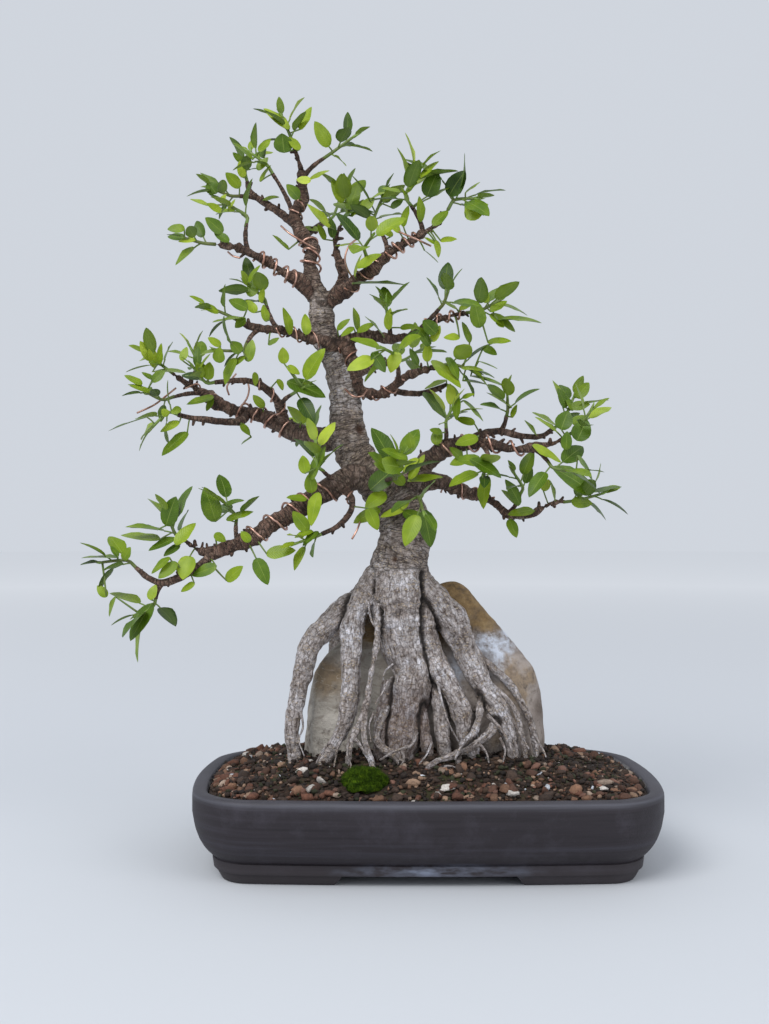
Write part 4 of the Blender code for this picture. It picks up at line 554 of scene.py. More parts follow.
# Loose moss on the soil: place, spread and number of threads
MOSS_TUFTS = [
    (-0.060, -0.058, 0.005, 260), (-0.040, -0.056, 0.006, 260), (0.075, -0.055, 0.010, 320),
    (0.110, -0.020, 0.012, 320), (-0.120, 0.010, 0.012, 300), (-0.105, -0.035, 0.008, 200),
    (0.020, -0.070, 0.006, 160), (0.120, 0.050, 0.014, 260), (-0.090, 0.070, 0.014, 260),
]

# Stage. Lamps: name, place, power in watts and side in metres
SKY_STRENGTH = 0.75
FLOOR_NEAR = (600, 620, 650)
FLOOR_FAR = (970, 970, 970)
LAMPS = [
    ("key_lamp", (-1.4, -1.9, 2.6), 70.0, 1.8),
    ("fill_lamp", (2.0, -1.5, 1.3), 18.0, 1.6),
]


# Arrays and meshes


def unit(vector):
    """A vector at length 1."""
    vector = np.asarray(vector, float)
    return vector / max(np.linalg.norm(vector), 1e-12)


def units(vectors):
    """Vectors, each at length 1."""
    return vectors / np.maximum(np.linalg.norm(vectors, axis=-1, keepdims=True), 1e-12)


def noise(points, size, seed=0):
    """Smooth random values from -1 to 1: random numbers at the corners of a lattice of the given cell
    size, blended by 3u^2 - 2u^3 in all three directions."""
    scaled = np.asarray(points, float) / np.asarray(size, float) + 1000.0
    cell = np.floor(scaled).astype(np.int64)
    part = scaled - cell
    part = part * part * (3 - 2 * part)
    total = np.zeros(scaled.shape[:-1])
    for corner in range(8):
        offset = np.array((corner & 1, corner >> 1 & 1, corner >> 2 & 1))
        at = cell + offset
        key = at[..., 0] * 73856093 ^ at[..., 1] * 19349663 ^ at[..., 2] * 83492791 ^ (seed + 1) * 2654435
        key = (key ^ (key >> 15)) * 2246822519 & 0xFFFFFFFF
        key = (key ^ (key >> 13)) * 3266489917 & 0xFFFFFFFF
        value = (key ^ (key >> 16)) / 2147483648.0 - 1
        weight = np.where(offset, part, 1 - part).prod(axis=-1)
        total += value * weight
    return total


def photo_point(column, row, depth):
    """The point that the camera sees at a picture column and row, `depth` mm behind the pot's middle."""
    reach = (depth / 1000 - CAMERA_PLACE[1]) / FOCAL_PIXELS
    x = CAMERA_PLACE[0] + (column - PICTURE_SIZE[0] / 2) * reach
    z = CAMERA_PLACE[2] - (row - HORIZON_ROW) * reach
    return np.array((x, depth / 1000, z))


def closed_faces(rings, sides, poles):
    """Faces over closed rings of points: quads between the rings and, at each end, a flat cap or,
    with poles, triangles to a point that follows the rings."""
    index = np.arange(rings * sides).reshape(rings, sides)
    after = np.roll(index, -1, axis=1)
    quads = np.stack([index[:-1], after[:-1], after[1:], index[1:]], axis=-1).reshape(-1, 4)
    if not poles:
        return [quads, index[0][::-1][None], index[-1][None]]
    pole = np.full(sides, rings * sides)
    return [quads, np.stack([pole, after[0], index[0]], axis=-1),
            np.stack([pole + 1, index[-1], after[-1]], axis=-1)]


def picture_place(points):
    """The picture columns and rows where the camera sees the points."""
    reach = (points[:, 1] - CAMERA_PLACE[1]) / FOCAL_PIXELS
    columns = PICTURE_SIZE[0] / 2 + (points[:, 0] - CAMERA_PLACE[0]) / reach
    return columns, HORIZON_ROW - (points[:, 2] - CAMERA_PLACE[2]) / reach


def join_parts(parts):
    """Joins parts, each a dictionary of points, faces and values at the points."""
    joined = {"faces": []}
    for key in parts[0]:
        if key != "faces":
            joined[key] = np.concatenate([part[key] for part in parts])
    start = 0
    for part in parts:
        joined["faces"].extend(np.asarray(face) + start for face in part["faces"])
        start += len(part["points"])
    return joined


def make_mesh(name, part, looks):
    """Makes an object from a part: its points, its arrays of faces, and an attribute for each other
    key; uv becomes its UV map and `kind` picks the material. Points are held inside the solids' box."""
    mesh = bpy.data.meshes.new(name)
    points = np.asarray(part["points"], np.float32) + SHIFT.astype(np.float32)
    points = np.clip(points, CAD_LOW.astype(np.float32), CAD_HIGH.astype(np.float32))
    mesh.vertices.add(len(points))
    mesh.vertices.foreach_set("co", points.ravel())
    loops = np.concatenate([face.ravel() for face in part["faces"]]).astype(np.int32)
    sizes = np.concatenate([np.full(len(face), face.shape[1]) for face in part["faces"]])
    starts = np.concatenate([[0], np.cumsum(sizes)[:-1]]).astype(np.int32)
    mesh.loops.add(len(loops))
    mesh.loops.foreach_set("vertex_index", loops)
    mesh.polygons.add(len(sizes))
    mesh.polygons.foreach_set("loop_start", starts)
    for look in looks:
        mesh.materials.append(look)
    if "kind" in part:
        mesh.polygons.foreach_set("material_index", part["kind"][loops[starts]].astype(np.int32))
    mesh.update(calc_edges=True)
    mesh.shade_smooth()
    if "under" in part:
        mesh.set_sharp_from_angle(angle=math.radians(70))
    if "uv" in part:
        layer = mesh.uv_layers.new(name="surface")
        layer.data.foreach_set("uv", part["uv"][loops].astype(np.float32).ravel())
    for key, values in part.items():
        if key in ("points", "faces", "kind", "uv"):
            continue
        vector = values.ndim == 2
        field = mesh.attributes.new(key, "FLOAT_VECTOR" if vector else "FLOAT", "POINT")
        field.data.foreach_set("vector" if vector else "value", values.astype(np.float32).ravel())
    thing = bpy.data.objects.new(name, mesh)
    bpy.context.scene.collection.objects.link(thing)
    return thing


def finish_piece(thing, slot, *nodes):
    """Lets a piece ride on the one body and hides the solids it stands for; `slot`, the name of its finish,
    is not used.
    """
    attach(thing, "root")
    if nodes:
        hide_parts(*nodes)
    return thing


def apply_modifiers(thing):
    """Applies an object's modifiers."""
    bpy.context.view_layer.update()
    mesh = bpy.data.meshes.new_from_object(thing.evaluated_get(bpy.context.evaluated_depsgraph_get()))
    old = thing.data
    thing.modifiers.clear()
    thing.data = mesh
    bpy.data.meshes.remove(old)


# Routes and tubes


def smooth_route(points, count):
    """Reads `count` rows of x, y, z, radius from a Catmull-Rom curve through the points."""
    p = np.asarray(points, float)
    p = np.vstack([2 * p[0] - p[1], p, 2 * p[-1] - p[-2]])
    t = np.linspace(0, len(points) - 1, count)
    k = np.minimum(t.astype(int), len(points) - 2)
    u = (t - k)[:, None]
    a, b, c, d = p[k], p[k + 1], p[k + 2], p[k + 3]
    rows = 0.5 * (2 * b + (c - a) * u + (2 * a - 5 * b + 4 * c - d) * u**2 + (3 * b - a - 3 * c + d) * u**3)
    rows[0] = points[0]
    rows[-1] = points[-1]
    return rows


def route_length(points):
    """The length of the straight lines between a route's points."""
    return np.linalg.norm(np.diff(np.asarray(points, float)[:, :3], axis=0), axis=1).sum()


def route_count(points):
    """How many rings a solid's route has: one for about every three radii of its length."""
    p = np.asarray(points, float)
    return int(np.clip(round(route_length(points) / (3.0 * p[:, 3].mean())), 4, 10))


def fine_route(points, step=RING_STEP):
    """A route with a ring for each step of its length."""
    return smooth_route(points, max(int(route_length(points) / step), 6))


def frames_along(centres):
    """The tangent and two crossing directions at each point, turning as little as possible."""
    tangents = np.array([unit(v) for v in np.gradient(centres, axis=0)])
    first = unit(np.cross(tangents[0], (0.13, 0.21, 0.97) if abs(tangents[0][2]) < 0.8 else (0.9, 0.1, 0.2)))
    sides = [first]
    for tangent in tangents[1:]:
        sides.append(unit(sides[-1] - np.dot(sides[-1], tangent) * tangent))
    sides = np.array(sides)
    return tangents, sides, np.cross(tangents, sides)


def distance_along(centres):
    """How far along a path each of its points lies."""
    return np.concatenate([[0], np.cumsum(np.linalg.norm(np.diff(centres, axis=0), axis=1))])


def tones_along(travelled, tones):
    """Spreads one tone or a few evenly along a path."""
    known = np.atleast_1d(tones)
    return np.interp(travelled / max(travelled[-1], 1e-9), np.linspace(0, 1, len(known)), known)


def tube_part(route, sides, tone=0.0, relief=None, blunt=0.4):
    """A round surface along a path: each ring is the path's point plus its radius times
    (cos a, sin a) in the plane across the path, times 1 + relief. `grain` is the straightened place on it,
    (r cos a, r sin a, distance along), and `tone` a value from 0 to 1 along it."""
    route = np.asarray(route, float)
    centres = route[:, :3]
    radii = route[:, 3]
    tangents, across, above = frames_along(centres)
    angle = np.arange(sides) * 2 * math.pi / sides
    out = np.cos(angle)[None, :, None] * across[:, None] + np.sin(angle)[None, :, None] * above[:, None]
    travelled = distance_along(centres)
    flat = np.stack([radii[:, None] * np.cos(angle), radii[:, None] * np.sin(angle),
                     np.repeat(travelled[:, None], sides, axis=1)], axis=2)
    grow = 1 + (relief(flat) if relief else 0)
    points = centres[:, None] + (radii[:, None] * grow)[..., None] * out
    start = centres[0] - tangents[0] * radii[0] * blunt
    end = centres[-1] + tangents[-1] * radii[-1] * blunt
    tones = tones_along(travelled, tone)
    return {
        "points": np.vstack([points.reshape(-1, 3), start, end]),
        "faces": closed_faces(len(route), sides, True),
        "grain": np.vstack([flat.reshape(-1, 3), (0, 0, 0), (0, 0, travelled[-1])]),
        "tone": np.concatenate([np.repeat(tones, sides), tones[:1], tones[-1:]]),
    }


def branch_routes():
    """The routes of the trunk and of all branches with the rings of their solids."""
    return {name: smooth_route(points, route_count(points) + (2 if name in WIRED else 0))
            for name, points in CARRIERS.items()}


HOSTS = branch_routes()


def place_on(points, share):
    """The row and the direction at a share of the way along a route."""
    fine = smooth_route(points, 101)
    index = min(int(round(share * 100)), 99)
    return fine[index], unit(fine[index + 1, :3] - fine[index, :3])


def bezier(a, b, c, count):
    """Points of a quadratic Bezier curve."""
    t = np.linspace(0, 1, count)[:, None]
    return (1 - t) ** 2 * a + 2 * t * (1 - t) * b + t**2 * c


def twig_and_shoot(entry):
    """The woody twig's route, or None, and the green shoot's route."""
    _, host, share, tip, end, _, _ = entry
    points = CARRIERS[host]
    row, along = place_on(points, share)
    if tip is None:
        twig = None
        start = np.array(points[-1][:3])
        direction = unit(HOSTS[host][-1, :3] - HOSTS[host][-2, :3])
        radius = min(points[-1][3] * 0.9, SHOOT_ROOT_RADIUS)
    else:
        root = row[:3]
        tip = np.array(tip)
        reach = np.linalg.norm(tip - root)
        bend = root + reach * (0.15 * along + 0.35 * unit(tip - root))
        centres = bezier(root, bend, tip, TWIG_RINGS)
        first = min(TWIG_ROOT_RADIUS, 0.85 * row[3])
        radii = np.linspace(first, TWIG_TIP_RADIUS, TWIG_RINGS)
        twig = np.column_stack([centres, radii])
        direction = unit(centres[-1] - centres[-2])
        start = tip
        radius = SHOOT_ROOT_RADIUS
    start = start + (GAP + 0.0001) * direction
    end = np.array(end)
    middle = start + 0.45 * np.linalg.norm(end - start) * direction
    centres = bezier(start, middle, end, SHOOT_RINGS)
    centres[1] = start + np.linalg.norm(centres[1] - start) * direction
    shoot = np.column_stack([centres, np.linspace(radius, SHOOT_TIP_RADIUS, SHOOT_RINGS)])
    return twig, shoot


# Leaves


def leaf_sections(root, base, direction, normal, length, grow=0.0):
    """A leaf's rings of four points and its tip: its midline droops with the square of the
    distance from the blade's base, and its two halves rise by the fold."""
    side = np.cross(direction, normal)
    petiole = PETIOLE_RADIUS + grow
    rings = []
    for centre in (root, base):
        rings.append([centre - petiole * side, centre + petiole * normal,
                      centre + petiole * side, centre - petiole * normal])
    thick = BLADE_HALF_THICKNESS + grow
    for along, width in BLADE_STATIONS:
        middle = base + direction * length * along - normal * BLADE_DROOP * length * along**2
        half = BLADE_WIDTH * length / 2 * width + grow
        rings.append([middle - half * side + BLADE_FOLD * half * normal, middle + thick * normal,
                      middle + half * side + BLADE_FOLD * half * normal, middle - thick * normal])
    tip = base + direction * (length + grow) - normal * BLADE_DROOP * length
    return np.array(rings), tip


def leaf_faces(ring_count):
    """Triangles of a leaf, split alike on its upper and under side."""
    faces = [(0, 3, 2), (0, 2, 1)]
    for ring in range(ring_count - 1):
        for k in range(4):
            a = 4 * ring + k
            b = 4 * ring + (k + 1) % 4
            if k % 2 == 0:
                faces.extend([(a, b, b + 4), (a, b + 4, a + 4)])
            else:
                faces.extend([(a, b, a + 4), (b, b + 4, a + 4)])
    last = 4 * (ring_count - 1)
    for k in range(4):
        faces.append((last + k, last + (k + 1) % 4, last + 4))
    return faces


LEAF_FACES = np.array(leaf_faces(2 + len(BLADE_STATIONS)))


def leaf_triangles(rings, tip):
    """The leaf's triangles as corner points."""
    points = np.vstack([rings.reshape(-1, 3), tip])
    return points[LEAF_FACES]


def segments_hit(starts, ends, triangles):
    """Tells whether any segment passes through any triangle."""
    a = triangles[:, 0]
    edge1 = triangles[:, 1] - a
    edge2 = triangles[:, 2] - a
    d = (ends - starts)[:, None, :]
    h = np.cross(d, edge2[None])
    det = (edge1[None] * h).sum(2)
    safe = np.where(np.abs(det) < 1e-18, 1.0, det)
    s = starts[:, None, :] - a[None]
    u = (s * h).sum(2) / safe
    q = np.cross(s, edge1[None])
    v = (d * q).sum(2) / safe
    t = (edge2[None] * q).sum(2) / safe
    hit = (np.abs(det) > 1e-18) & (u >= 0) & (v >= 0) & (u + v <= 1) & (t >= 0) & (t <= 1)
    return bool(hit.any())


def triangles_cross(first, second):
    """Tells whether two sets of triangles cut each other."""
    for one, other in ((first, second), (second, first)):
        starts = one.reshape(-1, 3)
        ends = np.roll(one, -1, axis=1).reshape(-1, 3)
        if segments_hit(starts, ends, other):
            return True
    return False


def distance_to_tubes(points, starts, ends, radii):
    """The least distance from the points to the surface of straight tubes."""
    d = ends - starts
    span = np.maximum((d * d).sum(1), 1e-12)
    t = np.clip(((points[:, None, :] - starts[None]) * d[None]).sum(2) / span[None], 0, 1)
    nearest = starts[None] + t[..., None] * d[None]
    return float((np.linalg.norm(points[:, None, :] - nearest, axis=2) - radii[None]).min())


def tube_pieces(routes, extra=0.0):
    """Routes as straight tubes: starts, ends and radii."""
    starts = np.vstack([r[:-1, :3] for r in routes])
    ends = np.vstack([r[1:, :3] for r in routes])
    radii = np.concatenate([np.maximum(r[:-1, 3], r[1:, 3]) + extra for r in routes])
    return starts, ends, radii


def leaf_samples(rings, tip):
    """Points spread over a leaf's blade, for its distance to wood."""
    left = np.vstack([rings[1:, 0], tip])
    right = np.vstack([rings[1:, 2], tip])
    middle = np.vstack([(rings[1:, 1] + rings[1:, 3]) / 2, tip])
    samples = []
    for a, b in ((left, middle), (middle, right)):
        for share in (0.0, 0.5, 1.0):
            row = a * (1 - share) + b * share
            for k in range(len(row) - 1):
                for step in (0.0, 0.25, 0.5, 0.75):
                    samples.append(row[k] * (1 - step) + row[k + 1] * step)
            samples.append(row[-1])
    return np.array(samples)


def leaf_pose(chance, shoot, index, count, longest, turn, attempt):
    """Root, base, direction, normal and length of one leaf. Leaves stand alternately round a shoot,
    flatter at its foot and steeper at its tip; each further attempt turns them a little more."""
    share = (index + 0.6) / count
    last = index == count - 1
    position = np.clip(0.10 + 0.90 * share, 0, 1) * (len(shoot) - 1)
    k = min(int(position), len(shoot) - 2)
    root = shoot[k, :3] + (shoot[k + 1, :3] - shoot[k, :3]) * (position - k)
    axis = unit(shoot[k + 1, :3] - shoot[k, :3])
    u = unit(np.cross(axis, (0.3, 0.9, 0.1)))
    v = np.cross(axis, u)
    spread = math.radians(12 if last else 66 - 30 * share)
    spread += math.radians(chance.uniform(-9, 9) * (1 + 0.10 * attempt))
    azimuth = turn + math.radians(144 * index + chance.uniform(-16, 16) * (1 + 0.30 * attempt))
    radial = math.cos(azimuth) * u + math.sin(azimuth) * v
    direction = unit(math.cos(spread) * axis + math.sin(spread) * radial + np.array((0, 0, 0.10)))
    upward = unit(np.array((0.0, -0.30, 1.0)) + 0.5 * axis)
    normal = upward - np.dot(upward, direction) * direction
    if np.linalg.norm(normal) < 0.25:
        normal = -radial - np.dot(-radial, direction) * direction
    normal = unit(normal)
    roll = math.radians(chance.uniform(-35, 35))
    normal = unit(math.cos(roll) * normal + math.sin(roll) * np.cross(direction, normal))
    growth = 0.72 + 0.28 * math.sin(math.pi * min(share, 0.95))
    length = longest * growth * chance.uniform(0.86, 1.04) * (0.78 if last else 1.0)
    length *= 1 - 0.012 * attempt
    base = root + direction * (SHOOT_ROOT_RADIUS + PETIOLE * length)
    return root, base, direction, normal, length


def wood_tubes():
    """The wood as straight tubes, with room for the wire on wired branches, and the twig and shoot
    of every entry."""
    plain = [route for name, route in HOSTS.items() if name not in WIRED]
    coiled = [route for name, route in HOSTS.items() if name in WIRED]
    pairs = [twig_and_shoot(entry) for entry in SHOOTS]
    twigs = [twig for twig, _ in pairs if twig is not None]
    sets = [tube_pieces(plain + twigs), tube_pieces(coiled, 2 * WIRE_RADIUS + WIRE_SEAT)]
    return [np.concatenate([s[k] for s in sets]) for k in range(3)], pairs


def place_leaves(entries, pairs, stems, wood):
    """Places each shoot's leaves, by the same draws each run, clear of the wood, the other shoots
    and the leaves placed before."""
    plan = []
    placed = []
    for number, (entry, (_, shoot)) in enumerate(zip(entries, pairs)):
        chance = random.Random(LEAF_SEED + number)
        turn = chance.uniform(0, 2 * math.pi)
        others = tube_pieces([s for s in stems if s is not shoot])
        own = tube_pieces([shoot])
        leaves = []
        for index in range(entry[5]):
            for attempt in range(LEAF_TRIES):
                pose = leaf_pose(chance, shoot, index, entry[5], entry[6], turn, attempt)
                rings, tip = leaf_sections(*pose, LEAF_CLEARANCE)
                samples = leaf_samples(rings, tip)
                if distance_to_tubes(samples, *wood) < WOOD_CLEARANCE:
                    continue
                if distance_to_tubes(samples, *others) < WOOD_CLEARANCE:
                    continue
                if distance_to_tubes(samples[4:], *own) < 0.0:
                    continue
                triangles = leaf_triangles(rings, tip)
                middle = (pose[1] + tip) / 2
                near_by = [t for m, t in placed if np.linalg.norm(m - middle) < 0.055]
                if near_by and triangles_cross(triangles[10:], np.concatenate(near_by)):
                    continue
                placed.append((middle, leaf_triangles(*leaf_sections(*pose))))
                leaves.append(pose)
                break
        plan.append(leaves)
    return plan


def blade_faces():
    """The quads and triangles of one blade, whose upper and under side share their edge."""
    rows, columns = len(BLADE_ALONG), len(BLADE_ACROSS)
    upper = np.arange(rows * columns).reshape(rows, columns)
    inner = rows * columns + np.arange(rows * (columns - 2)).reshape(rows, columns - 2)
    under = np.hstack([upper[:, :1], inner, upper[:, -1:]])
    base = rows * columns + rows * (columns - 2)
    quads = []
    ends = []
    for grid, flip in ((upper, False), (under, True)):
        quad = np.stack([grid[:-1, :-1], grid[:-1, 1:], grid[1:, 1:], grid[1:, :-1]], axis=-1).reshape(-1, 4)
        first = np.stack([np.full(columns - 1, base), grid[0, 1:], grid[0, :-1]], axis=-1)
        last = np.stack([np.full(columns - 1, base + 1), grid[-1, :-1], grid[-1, 1:]], axis=-1)
        quads.append(quad[:, ::-1] if flip else quad)
        ends.extend([first[:, ::-1] if flip else first, last[:, ::-1] if flip else last])
    return np.vstack(quads), np.vstack(ends)


def blades_part(base, direction, normal, length, width, droop, fold, hue, seed):
    """The blades of many leaves. With t along a blade and w from -1 to 1 across it, a point is the
    base plus t lengths along the direction, less droop t^2 lengths along the normal, plus w half widths
    sideways; both halves rise by fold |w|, and the edge waves as sin(2 pi (1.6 t + phase)) w^2. The half
    width goes as t^0.55 (1 - t)^0.80."""
    count = len(base)
    t = np.array(BLADE_ALONG)
    w = np.array(BLADE_ACROSS)
    side = np.cross(direction, normal)
    profile = t**0.55 * (1 - t) ** 0.80
    profile = profile / profile.max()
    half = (width * length / 2)[:, None] * profile
    middle = base[:, None] + direction[:, None] * (length[:, None] * t)[..., None]
    middle = middle - normal[:, None] * ((droop * length)[:, None] * t**2)[..., None]
    phase = np.random.default_rng(seed).random(count)[:, None, None]
    lift = fold[:, None, None] * half[..., None] * (np.sqrt(w**2 + 0.02) - 0.14)
    wave = np.sin(2 * math.pi * (1.6 * t[None, :, None] + phase)) * w**2
    lift = lift + EDGE_WAVE * half[..., None] * wave * (1 + w)
    grid = middle[:, :, None] + side[:, None, None] * (half[..., None] * w)[..., None]
    grid = grid + normal[:, None, None] * lift[..., None]
    thick = (BLADE_THICKNESS / 2 * (1 - w**2))[None, None, :, None] * normal[:, None, None]
    upper = grid + thick
    lower = grid - thick
    tip = base + direction * length[:, None] - normal * (droop * length)[:, None]
    points = np.concatenate([upper.reshape(count, -1, 3), lower[:, :, 1:-1].reshape(count, -1, 3),
                             base[:, None], tip[:, None]], axis=1)
    along, across = np.meshgrid(t, w, indexing="ij")
    spots = np.stack([along, across], axis=-1)
    surface = np.concatenate([spots.reshape(-1, 2), spots[:, 1:-1].reshape(-1, 2), [(0, 0), (1, 0)]])
    rows = points.shape[1]
    under = np.zeros(rows)
    under[t.size * w.size:-2] = 1.0
    starts = (np.arange(count) * rows)[:, None, None]
    quads, ends = blade_faces()
    return {
        "points": points.reshape(-1, 3),
        "faces": [(quads[None] + starts).reshape(-1, 4), (ends[None] + starts).reshape(-1, 3)],
        "uv": np.tile(surface, (count, 1)),
        "hue": np.repeat(hue, rows),
        "under": np.tile(under, count),
        "kind": np.zeros(count * rows, int),
    }


def stalk_part(root, base, direction, normal, hue, radius):
    """A leaf's stalk, bent a little, from the stem to the blade's foot."""
    knee = (root + base) / 2 + 0.08 * np.linalg.norm(base - root) * normal
    route = bezier(root, knee, base + 0.0006 * direction, 5)
    return stem_part(np.column_stack([route, np.linspace(radius, SEEN_STALK, 5)]), 5, hue)


def stem_part(route, sides, hue, kind=1):
    """A green stem or stalk as a part with the keys that leaves have."""
    part = tube_part(route, sides)
    count = len(part["points"])
    return {
        "points": part["points"],
        "faces": part["faces"],
        "uv": np.zeros((count, 2)),
        "hue": np.full(count, float(hue)),
        "under": np.zeros(count),
        "kind": np.full(count, kind),
    }


def foliage_part(shoots, plan, seed):
    """The stems, buds, stalks and blades of the shoots."""
    chance = random.Random(seed)
    parts = []
    rows = []
    for shoot, leaves in zip(shoots, plan):
        young = chance.uniform(0.2, 1.0)
        centres = smooth_route(shoot, 9)
        centres[0, :3] -= 0.003 * unit(centres[1, :3] - centres[0, :3])
        parts.append(stem_part(centres, 7, 0.3 + 0.5 * young))
        tip = centres[-1, :3]
        along = unit(centres[-1, :3] - centres[-2, :3])
        ahead = unit(along + [chance.uniform(-0.3, 0.3) for _ in range(3)])
        bud = bezier(tip, tip + 0.5 * BUD_LENGTH * along, tip + BUD_LENGTH * ahead, 5)
        if bud[-1, 2] + SHIFT[2] < CAD_HIGH[2] - 0.001:
            parts.append(stem_part(np.column_stack([bud, (0.0009, 0.0012, 0.0010, 0.0006, 0.0001)]), 6, 0.9))
        for index, (root, base, direction, normal, length) in enumerate(leaves):
            parts.append(stalk_part(root, base, direction, normal, 0.5 + 0.3 * young, SEEN_STALK))
            share = (index + 1) / max(len(leaves), 1)
            hue = np.clip(0.22 + 0.48 * share * young + chance.gauss(0, 0.16), 0.02, 1)
            rows.append((base, direction, normal, length, chance.uniform(0.50, 0.62) - 0.08 * share,
                         BLADE_DROOP * chance.uniform(0.75, 1.3), BLADE_FOLD * chance.uniform(0.5, 1.2), hue))
    columns = [np.array([row[k] for row in rows]) for k in range(8)]
    parts.append(blades_part(*columns, seed))
    return join_parts(parts)


def leaf_from_picture(entry, row, forward, chance):
    """Lays one leaf of the picture out in space, turned until it looks as wide as it is seen."""
    foot_column, foot_row, tip_column, tip_row, width, _ = entry
    depth = 1000 * (row[1] - row[3]) - forward
    base = photo_point(foot_column, foot_row, depth)
    flat = photo_point(tip_column, tip_row, depth)
    reach = np.linalg.norm(flat - base)
    tip = photo_point(tip_column, tip_row, depth + 1000 * reach * chance)
    length = np.linalg.norm(tip - base)
    direction = (tip - base) / length
    seen_width = width * (depth / 1000 - CAMERA_PLACE[1]) / FOCAL_PIXELS
    wide = max(0.50 * length, 1.04 * seen_width)
    facing = min(seen_width / wide, 1.0)
    front = unit(np.array((0.0, -1.0, 0.0)) + direction[1] * direction)
    above = np.cross(front, direction)
    above = above * (1.0 if above[2] >= 0 else -1.0)
    normal = unit(facing * front + math.sqrt(max(1 - facing**2, 0)) * above)
    return base, direction, normal, length, wide / length


def seen_leaves(shoots, wood):
    """The picture's leaves, each on the nearest shoot, twig or branch as the camera sees them, and
    moved towards the camera where it would cut the wood."""
    carriers = [smooth_route(shoot, 24) for shoot in shoots]
    carriers += [fine_route(points, 0.002) for points in BRANCHES.values()]
    carriers = np.vstack(carriers)
    columns, rows = picture_place(carriers)
    chance = random.Random(SEEN_SEED)
    parts = []
    blades = []
    for entry in SEEN_LEAVES:
        gap = np.hypot(columns - entry[0], rows - entry[1]) + 150 * carriers[:, 1]
        row = carriers[gap.argmin()]
        tilt = chance.uniform(-0.45, 0.20)
        for attempt in range(8):
            base, direction, normal, length, wide = leaf_from_picture(entry, row, 2.0 + 3.0 * attempt, tilt)
            line = base + np.linspace(0.1, 1, 6)[:, None] * direction * length
            side = np.cross(direction, normal) * 0.35 * wide * length
            if distance_to_tubes(np.vstack([line, line[1:5] + side, line[1:5] - side]), *wood) > 0.0005:
                break
        tip = base + direction * length + SHIFT
        spill = np.maximum(CAD_LOW + 0.001 - tip, tip - CAD_HIGH + 0.001).max()
        length = length - 1.3 * max(spill, 0)
        # Painted light and shade: the leaf's colour follows its listed brightness, which is partly its age
        # and partly how it is lit.
        hue = np.clip(entry[5] / 100 + chance.uniform(-0.06, 0.06), 0, 1)
        far = np.linalg.norm(base - row[:3]) > 0.016
        parts.append(stalk_part(row[:3], base, direction, normal, 0.55, SEEN_TWIG if far else SEEN_STALK))
        blades.append((base, direction, normal, length, wide, chance.uniform(0.04, 0.14),
                       chance.uniform(0.05, 0.25), hue))
    columns = [np.array([row[k] for row in blades]) for k in range(8)]
    return join_parts([*parts, blades_part(*columns, SEEN_SEED)])


# Pot


def rounded_rectangle(inset, steps=14, along=24):
    """The outline `inset` inside the pot's widest one: a rounded rectangle whose x narrows
    by the share 0.075 (y / half depth)^2 and whose y by 0.085 (x / half width)^2."""
    radius = max(CORNER_RADIUS - inset, 0.012)
    half = np.array((POT_WIDTH, POT_DEPTH)) / 2 - inset - radius
    corners = []
    for sx, sy, start in ((1, 1, 0), (-1, 1, 90), (-1, -1, 180), (1, -1, 270)):
        angle = np.radians(np.linspace(0, 90, steps + 1) + start)
        corners.append(half * (sx, sy) + radius * np.column_stack([np.cos(angle), np.sin(angle)]))
    outline = []
    for number, corner in enumerate(corners):
        share = np.arange(1, along + 1)[:, None] / (along + 1)
        outline.extend([corner, corner[-1] + share * (corners[(number + 1) % 4][0] - corner[-1])])
    x, y = np.vstack(outline).T
    narrow_x = 1 - SIDE_BOW * (y / (POT_DEPTH / 2)) ** 2
    narrow_y = 1 - FRONT_BOW * (x / (POT_WIDTH / 2)) ** 2
    return np.column_stack([x * narrow_x, y * narrow_y])


def stack_part(rings):
    """A closed surface through level rings of (height, outline), with a flat cap at each end."""
    points = np.vstack([np.column_stack([outline, np.full(len(outline), z)]) for z, outline in rings])
    return {"points": points, "faces": closed_faces(len(rings), len(rings[0][1]), False)}


def box_part(size, top_scale, centre=(0, 0)):
    """A box about z = 0 whose top is narrower or wider than its bottom."""
    square = np.array(((-0.5, -0.5), (0.5, -0.5), (0.5, 0.5), (-0.5, 0.5)))
    rings = []
    for z, sx, sy in ((-0.5, 1, 1), (0.5, *top_scale)):
        rings.append((z * size[2], square * (size[0] * sx, size[1] * sy) + centre))
    return stack_part(rings)


def combine(thing, others, operation):
    """Joins other solids to an object, or cuts them out of it, and removes them."""
    for other in others:
        cut = thing.modifiers.new("combine", "BOOLEAN")
        cut.operation = operation
        cut.object = other
        cut.solver = "EXACT"
        apply_modifiers(thing)
        bpy.data.objects.remove(other)


def pot_profile():
    """The pot's wall as (height, inset) rows, closer together than the solid's where it curves."""
    outer = [(0.0080, 0.0180), (0.0083, 0.0169), (0.0090, 0.0164), (0.0150, 0.0155), (0.0157, 0.0158),
             (0.0162, 0.0168), (0.0172, 0.0160)]
    heights = np.linspace(0.0185, 0.0480, 12)
    known = np.array(OUTER_WALL)
    curve = np.interp(heights, known[:, 0], known[:, 1])
    curve[1:-1] = (curve[:-2] + 2 * curve[1:-1] + curve[2:]) / 4
    outer.extend(zip(heights, curve))
    outer.extend([(0.0560, 0.0000), (0.0590, 0.0000), (0.0612, 0.0002), (0.0624, 0.0007), (0.0631, 0.0015),
                  (0.0635, 0.0030)])
    inner = [(0.0635, 0.0088), (0.0632, 0.0102), (0.0625, 0.0112), (0.0612, 0.0118), *INNER_WALL[2:]]
    return outer + inner


